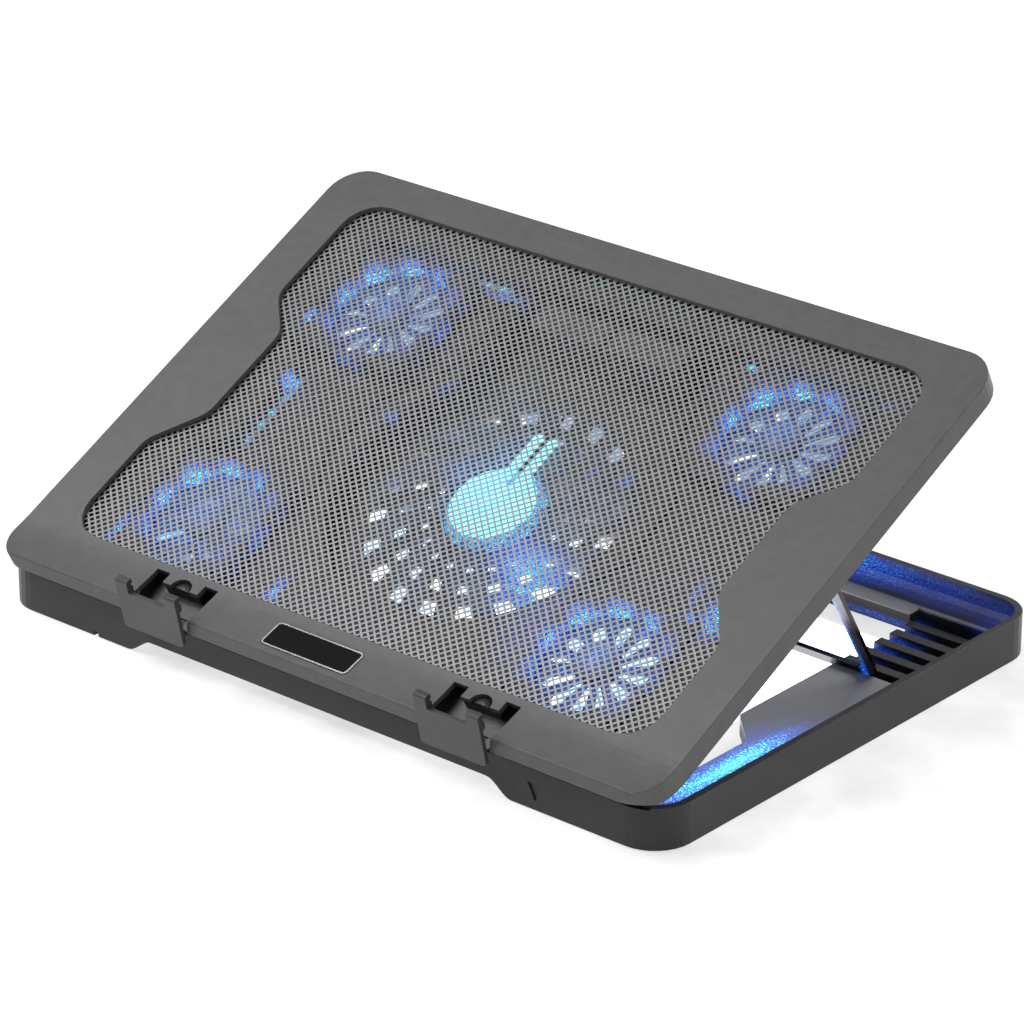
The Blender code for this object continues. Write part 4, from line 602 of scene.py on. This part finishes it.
def make_cap():
    low, high = local_box("main_fan_cap")
    joint = TO_DECK @ Vector(JOINTS["main_fan_spin"]["pos_m"])
    cx, cy = joint.x, joint.y
    radius = 20.2 * MM
    half = 6.5 * MM
    lane = 1.8 * MM
    tip = high.y - 0.05 * MM
    slot_start = cy + radius - 9.0 * MM
    edge = math.asin(half / radius)
    count = 60
    outline = []
    for k in range(count + 1):
        angle = math.pi / 2 + edge + (2 * math.pi - 2 * edge) * k / count
        outline.append((cx + radius * math.cos(angle), cy + radius * math.sin(angle)))
    for side in (1, -1):
        ends = [(half, tip - 0.8 * MM), (half - 0.8 * MM, tip), (lane + 0.8 * MM, tip),
                (lane, tip - 0.8 * MM), (lane, slot_start)]
        ends = ends if side > 0 else ends[::-1]
        outline += [(cx + side * x, y) for x, y in ends]
    bm = bmesh.new()
    plate(bm, outline, low.z, high.z)
    new_piece("cap_disc", bm, CAP_CYAN, "deck", bevel=0.35 * MM, swaps=("main_fan_cap",))


# ---------------------------------------------------------------- small parts

def rounded(x, y, radius, steps=5):
    points = []
    for cx, cy, start in ((x[1] - radius, y[0] + radius, -90), (x[1] - radius, y[1] - radius, 0),
                          (x[0] + radius, y[1] - radius, 90), (x[0] + radius, y[0] + radius, 180)):
        for k in range(steps + 1):
            a = math.radians(start + 90 * k / steps)
            points.append((cx + radius * math.cos(a), cy + radius * math.sin(a)))
    return points


def make_led_strip(name):
    low, high = local_box(name)
    bm = bmesh.new()
    plate(bm, rounded((low.x, high.x), (low.y, high.y), 0.4 * MM, 2), low.z, low.z + 0.4 * MM)
    new_piece(name + "_board", bm, LED_BOARD, "deck", smooth=False, swaps=(name,))
    chips = bmesh.new()
    long_x = high.x - low.x > high.y - low.y
    length = max(high.x - low.x, high.y - low.y)
    count = max(2, int(length / LED_STEP))
    middle = ((low.x + high.x) / 2, (low.y + high.y) / 2)
    for k in range(count):
        off = length * ((k + 0.5) / count - 0.5)
        x = middle[0] + (off if long_x else 0.0)
        y = middle[1] + (0.0 if long_x else off)
        wide = (1.6, 1.1) if long_x else (1.1, 1.6)
        block(chips, (x - wide[0] * MM, x + wide[0] * MM), (y - wide[1] * MM, y + wide[1] * MM),
              (low.z + 0.3 * MM, high.z))
    new_piece(name + "_chips", chips, LED_BLUE, "deck", smooth=False, bevel=0.15 * MM,
              swaps=(name,))


def make_board_parts():
    low, high = local_box("circuit_board")
    top = high.z
    room = 0.9 * MM
    chips = bmesh.new()
    middle = (low.y + high.y) / 2 - 3.0 * MM
    for x, wide, deep in ((-36, 3.5, 2.5), (8, 4.0, 2.6), (14.5, 1.0, 0.7), (37, 2.2, 1.6),
                          (32, 0.9, 0.6), (-30.5, 0.9, 0.6)):
        block(chips, ((x - wide) * MM, (x + wide) * MM),
              (middle - deep * MM, middle + deep * MM), (top - 0.05 * MM, top + room))
    new_piece("board_chips", chips, CHIP_BLACK, "deck", smooth=False, bevel=0.12 * MM)


# ---------------------------------------------------------------- dress every node

PLAIN = {
    "top_cover": DECK_PLASTIC, "base_frame": BASE_PLASTIC, "bottom_pan": PAN_PLASTIC,
    "controller_cover": COVER_GREY, "nameplate": PLATE_BLACK, "nameplate_bezel": BEZEL_SILVER,
    "main_fan_axle": AXLE_STEEL, "stand_frame": STAND_STEEL, "circuit_board": BOARD_GREEN,
    "speed_potentiometer": POT_BLACK, "speed_dial": DIAL_PLASTIC,
}
PREFIXES = (("foot_pad", PAD_RUBBER), ("hinge_pin", PIN_STEEL), ("stand_pin", PIN_STEEL),
            ("stopper_pin", PIN_STEEL), ("stopper_tray", TRAY_PLASTIC),
            ("stopper_", STOPPER_PLASTIC), ("usb_port", PORT_STEEL), ("wire_", WIRE_BLACK),
            ("cover_screw", SCREW_STEEL))
for node_name in sorted(NODES):
    look = PLAIN.get(node_name)
    if look is None:
        for start, candidate in PREFIXES:
            if node_name.startswith(start):
                look = candidate
                break
    if look is not None:
        wear_material(node_name, look)

make_grille()
for fan_word in ("front_left", "front_right", "rear_left", "rear_right"):
    make_small_fan(fan_word)
make_main_fan()
make_cap()
for strip_name in sorted(n for n in NODES if n.startswith("led_strip")):
    make_led_strip(strip_name)
make_board_parts()

# ---------------------------------------------------------------- studio


def area_light(name, place, aim, size, power, colour=(1.0, 1.0, 1.0)):
    data = bpy.data.lights.new(name, "AREA")
    data.shape = "RECTANGLE"
    data.size = size[0]
    data.size_y = size[1]
    data.energy = power
    data.color = colour
    lamp = bpy.data.objects.new(name, data)
    lamp.location = place
    lamp.rotation_euler = (Vector(aim) - Vector(place)).to_track_quat("-Z", "Y").to_euler()
    bpy.context.scene.collection.objects.link(lamp)
    return lamp


WHITE = (1.0, 1.0, 1.0)
FLOOR_REACH = 6.0


def paper_sheet(name, look_name, low, high, z, glow):
    """A flat sheet of softly lit white paper that isn't part of the object."""
    mesh = bpy.data.meshes.new(name)
    mesh.from_pydata([(low[0], low[1], 0), (high[0], low[1], 0), (high[0], high[1], 0),
                      (low[0], high[1], 0)], [], [(0, 1, 2, 3)])
    sheet = bpy.data.objects.new(name, mesh)
    sheet.location = (0.0, 0.0, z)
    bpy.context.scene.collection.objects.link(sheet)
    mesh.materials.append(surface(look_name, (0.35, 0.35, 0.35), 0.9, grain=300.0, wear=0.0,
                                  tone=0.01, specular=0.0, glow=glow, speckle=0.0,
                                  glow_from=WHITE, glow_to=WHITE))


paper_sheet("floor", "floor_paper", (-FLOOR_REACH, -FLOOR_REACH), (FLOOR_REACH, FLOOR_REACH),
            -0.0002, 0.72)
paper_sheet("light_panel", "panel_paper", (-0.135, -0.085), (0.135, 0.100), -0.0001, 3.0)

world = bpy.data.worlds.new("studio")
bpy.context.scene.world = world
world.use_nodes = True
back = world.node_tree.nodes["Background"]
back.inputs["Color"].default_value = (1.0, 1.0, 1.0, 1.0)
back.inputs["Strength"].default_value = 0.30

area_light("key", (-1.1, -0.6, 1.9), (0.0, 0.0, 0.05), (1.4, 1.4), 34.0)
area_light("back", (0.2, 1.9, 1.1), (0.0, 0.0, 0.05), (1.8, 0.8), 36.0)
area_light("side", (1.7, -0.2, 0.8), (0.1, 0.0, 0.04), (0.8, 0.8), 3.0)
area_light("strip", (-0.30, -0.48, 0.62), (0.12, -0.10, 0.03), (0.35, 0.35), 2.2)

# ---------------------------------------------------------------- camera

AZIMUTH = math.radians(40.5744)
ELEVATION = math.radians(23.9948)
ROLL = math.radians(0.1386)
CAMERA_FROM_BASE = Vector((1.27847, -1.36330, 0.92987))
back_axis = Vector((math.sin(AZIMUTH) * math.cos(ELEVATION),
                    -math.cos(AZIMUTH) * math.cos(ELEVATION), math.sin(ELEVATION)))
right_axis = Vector((0.0, 0.0, 1.0)).cross(back_axis).normalized()
up_axis = back_axis.cross(right_axis)
c, s = math.cos(ROLL), math.sin(ROLL)
right_axis, up_axis = c * right_axis + s * up_axis, -s * right_axis + c * up_axis
camera_data = bpy.data.cameras.new("camera")
camera_data.lens = 171.85
camera_data.sensor_width = 36.0
camera_data.clip_end = 50.0
camera = bpy.data.objects.new("camera", camera_data)
turn = Matrix((right_axis, up_axis, back_axis)).transposed().to_4x4()
camera.matrix_world = Matrix.Translation(CAMERA_FROM_BASE + Vector((0, BASE_LOW.y, 0))) @ turn
bpy.context.scene.collection.objects.link(camera)
bpy.context.scene.camera = camera
bpy.context.scene.view_settings.view_transform = "Standard"


bpy.context.view_layer.update()
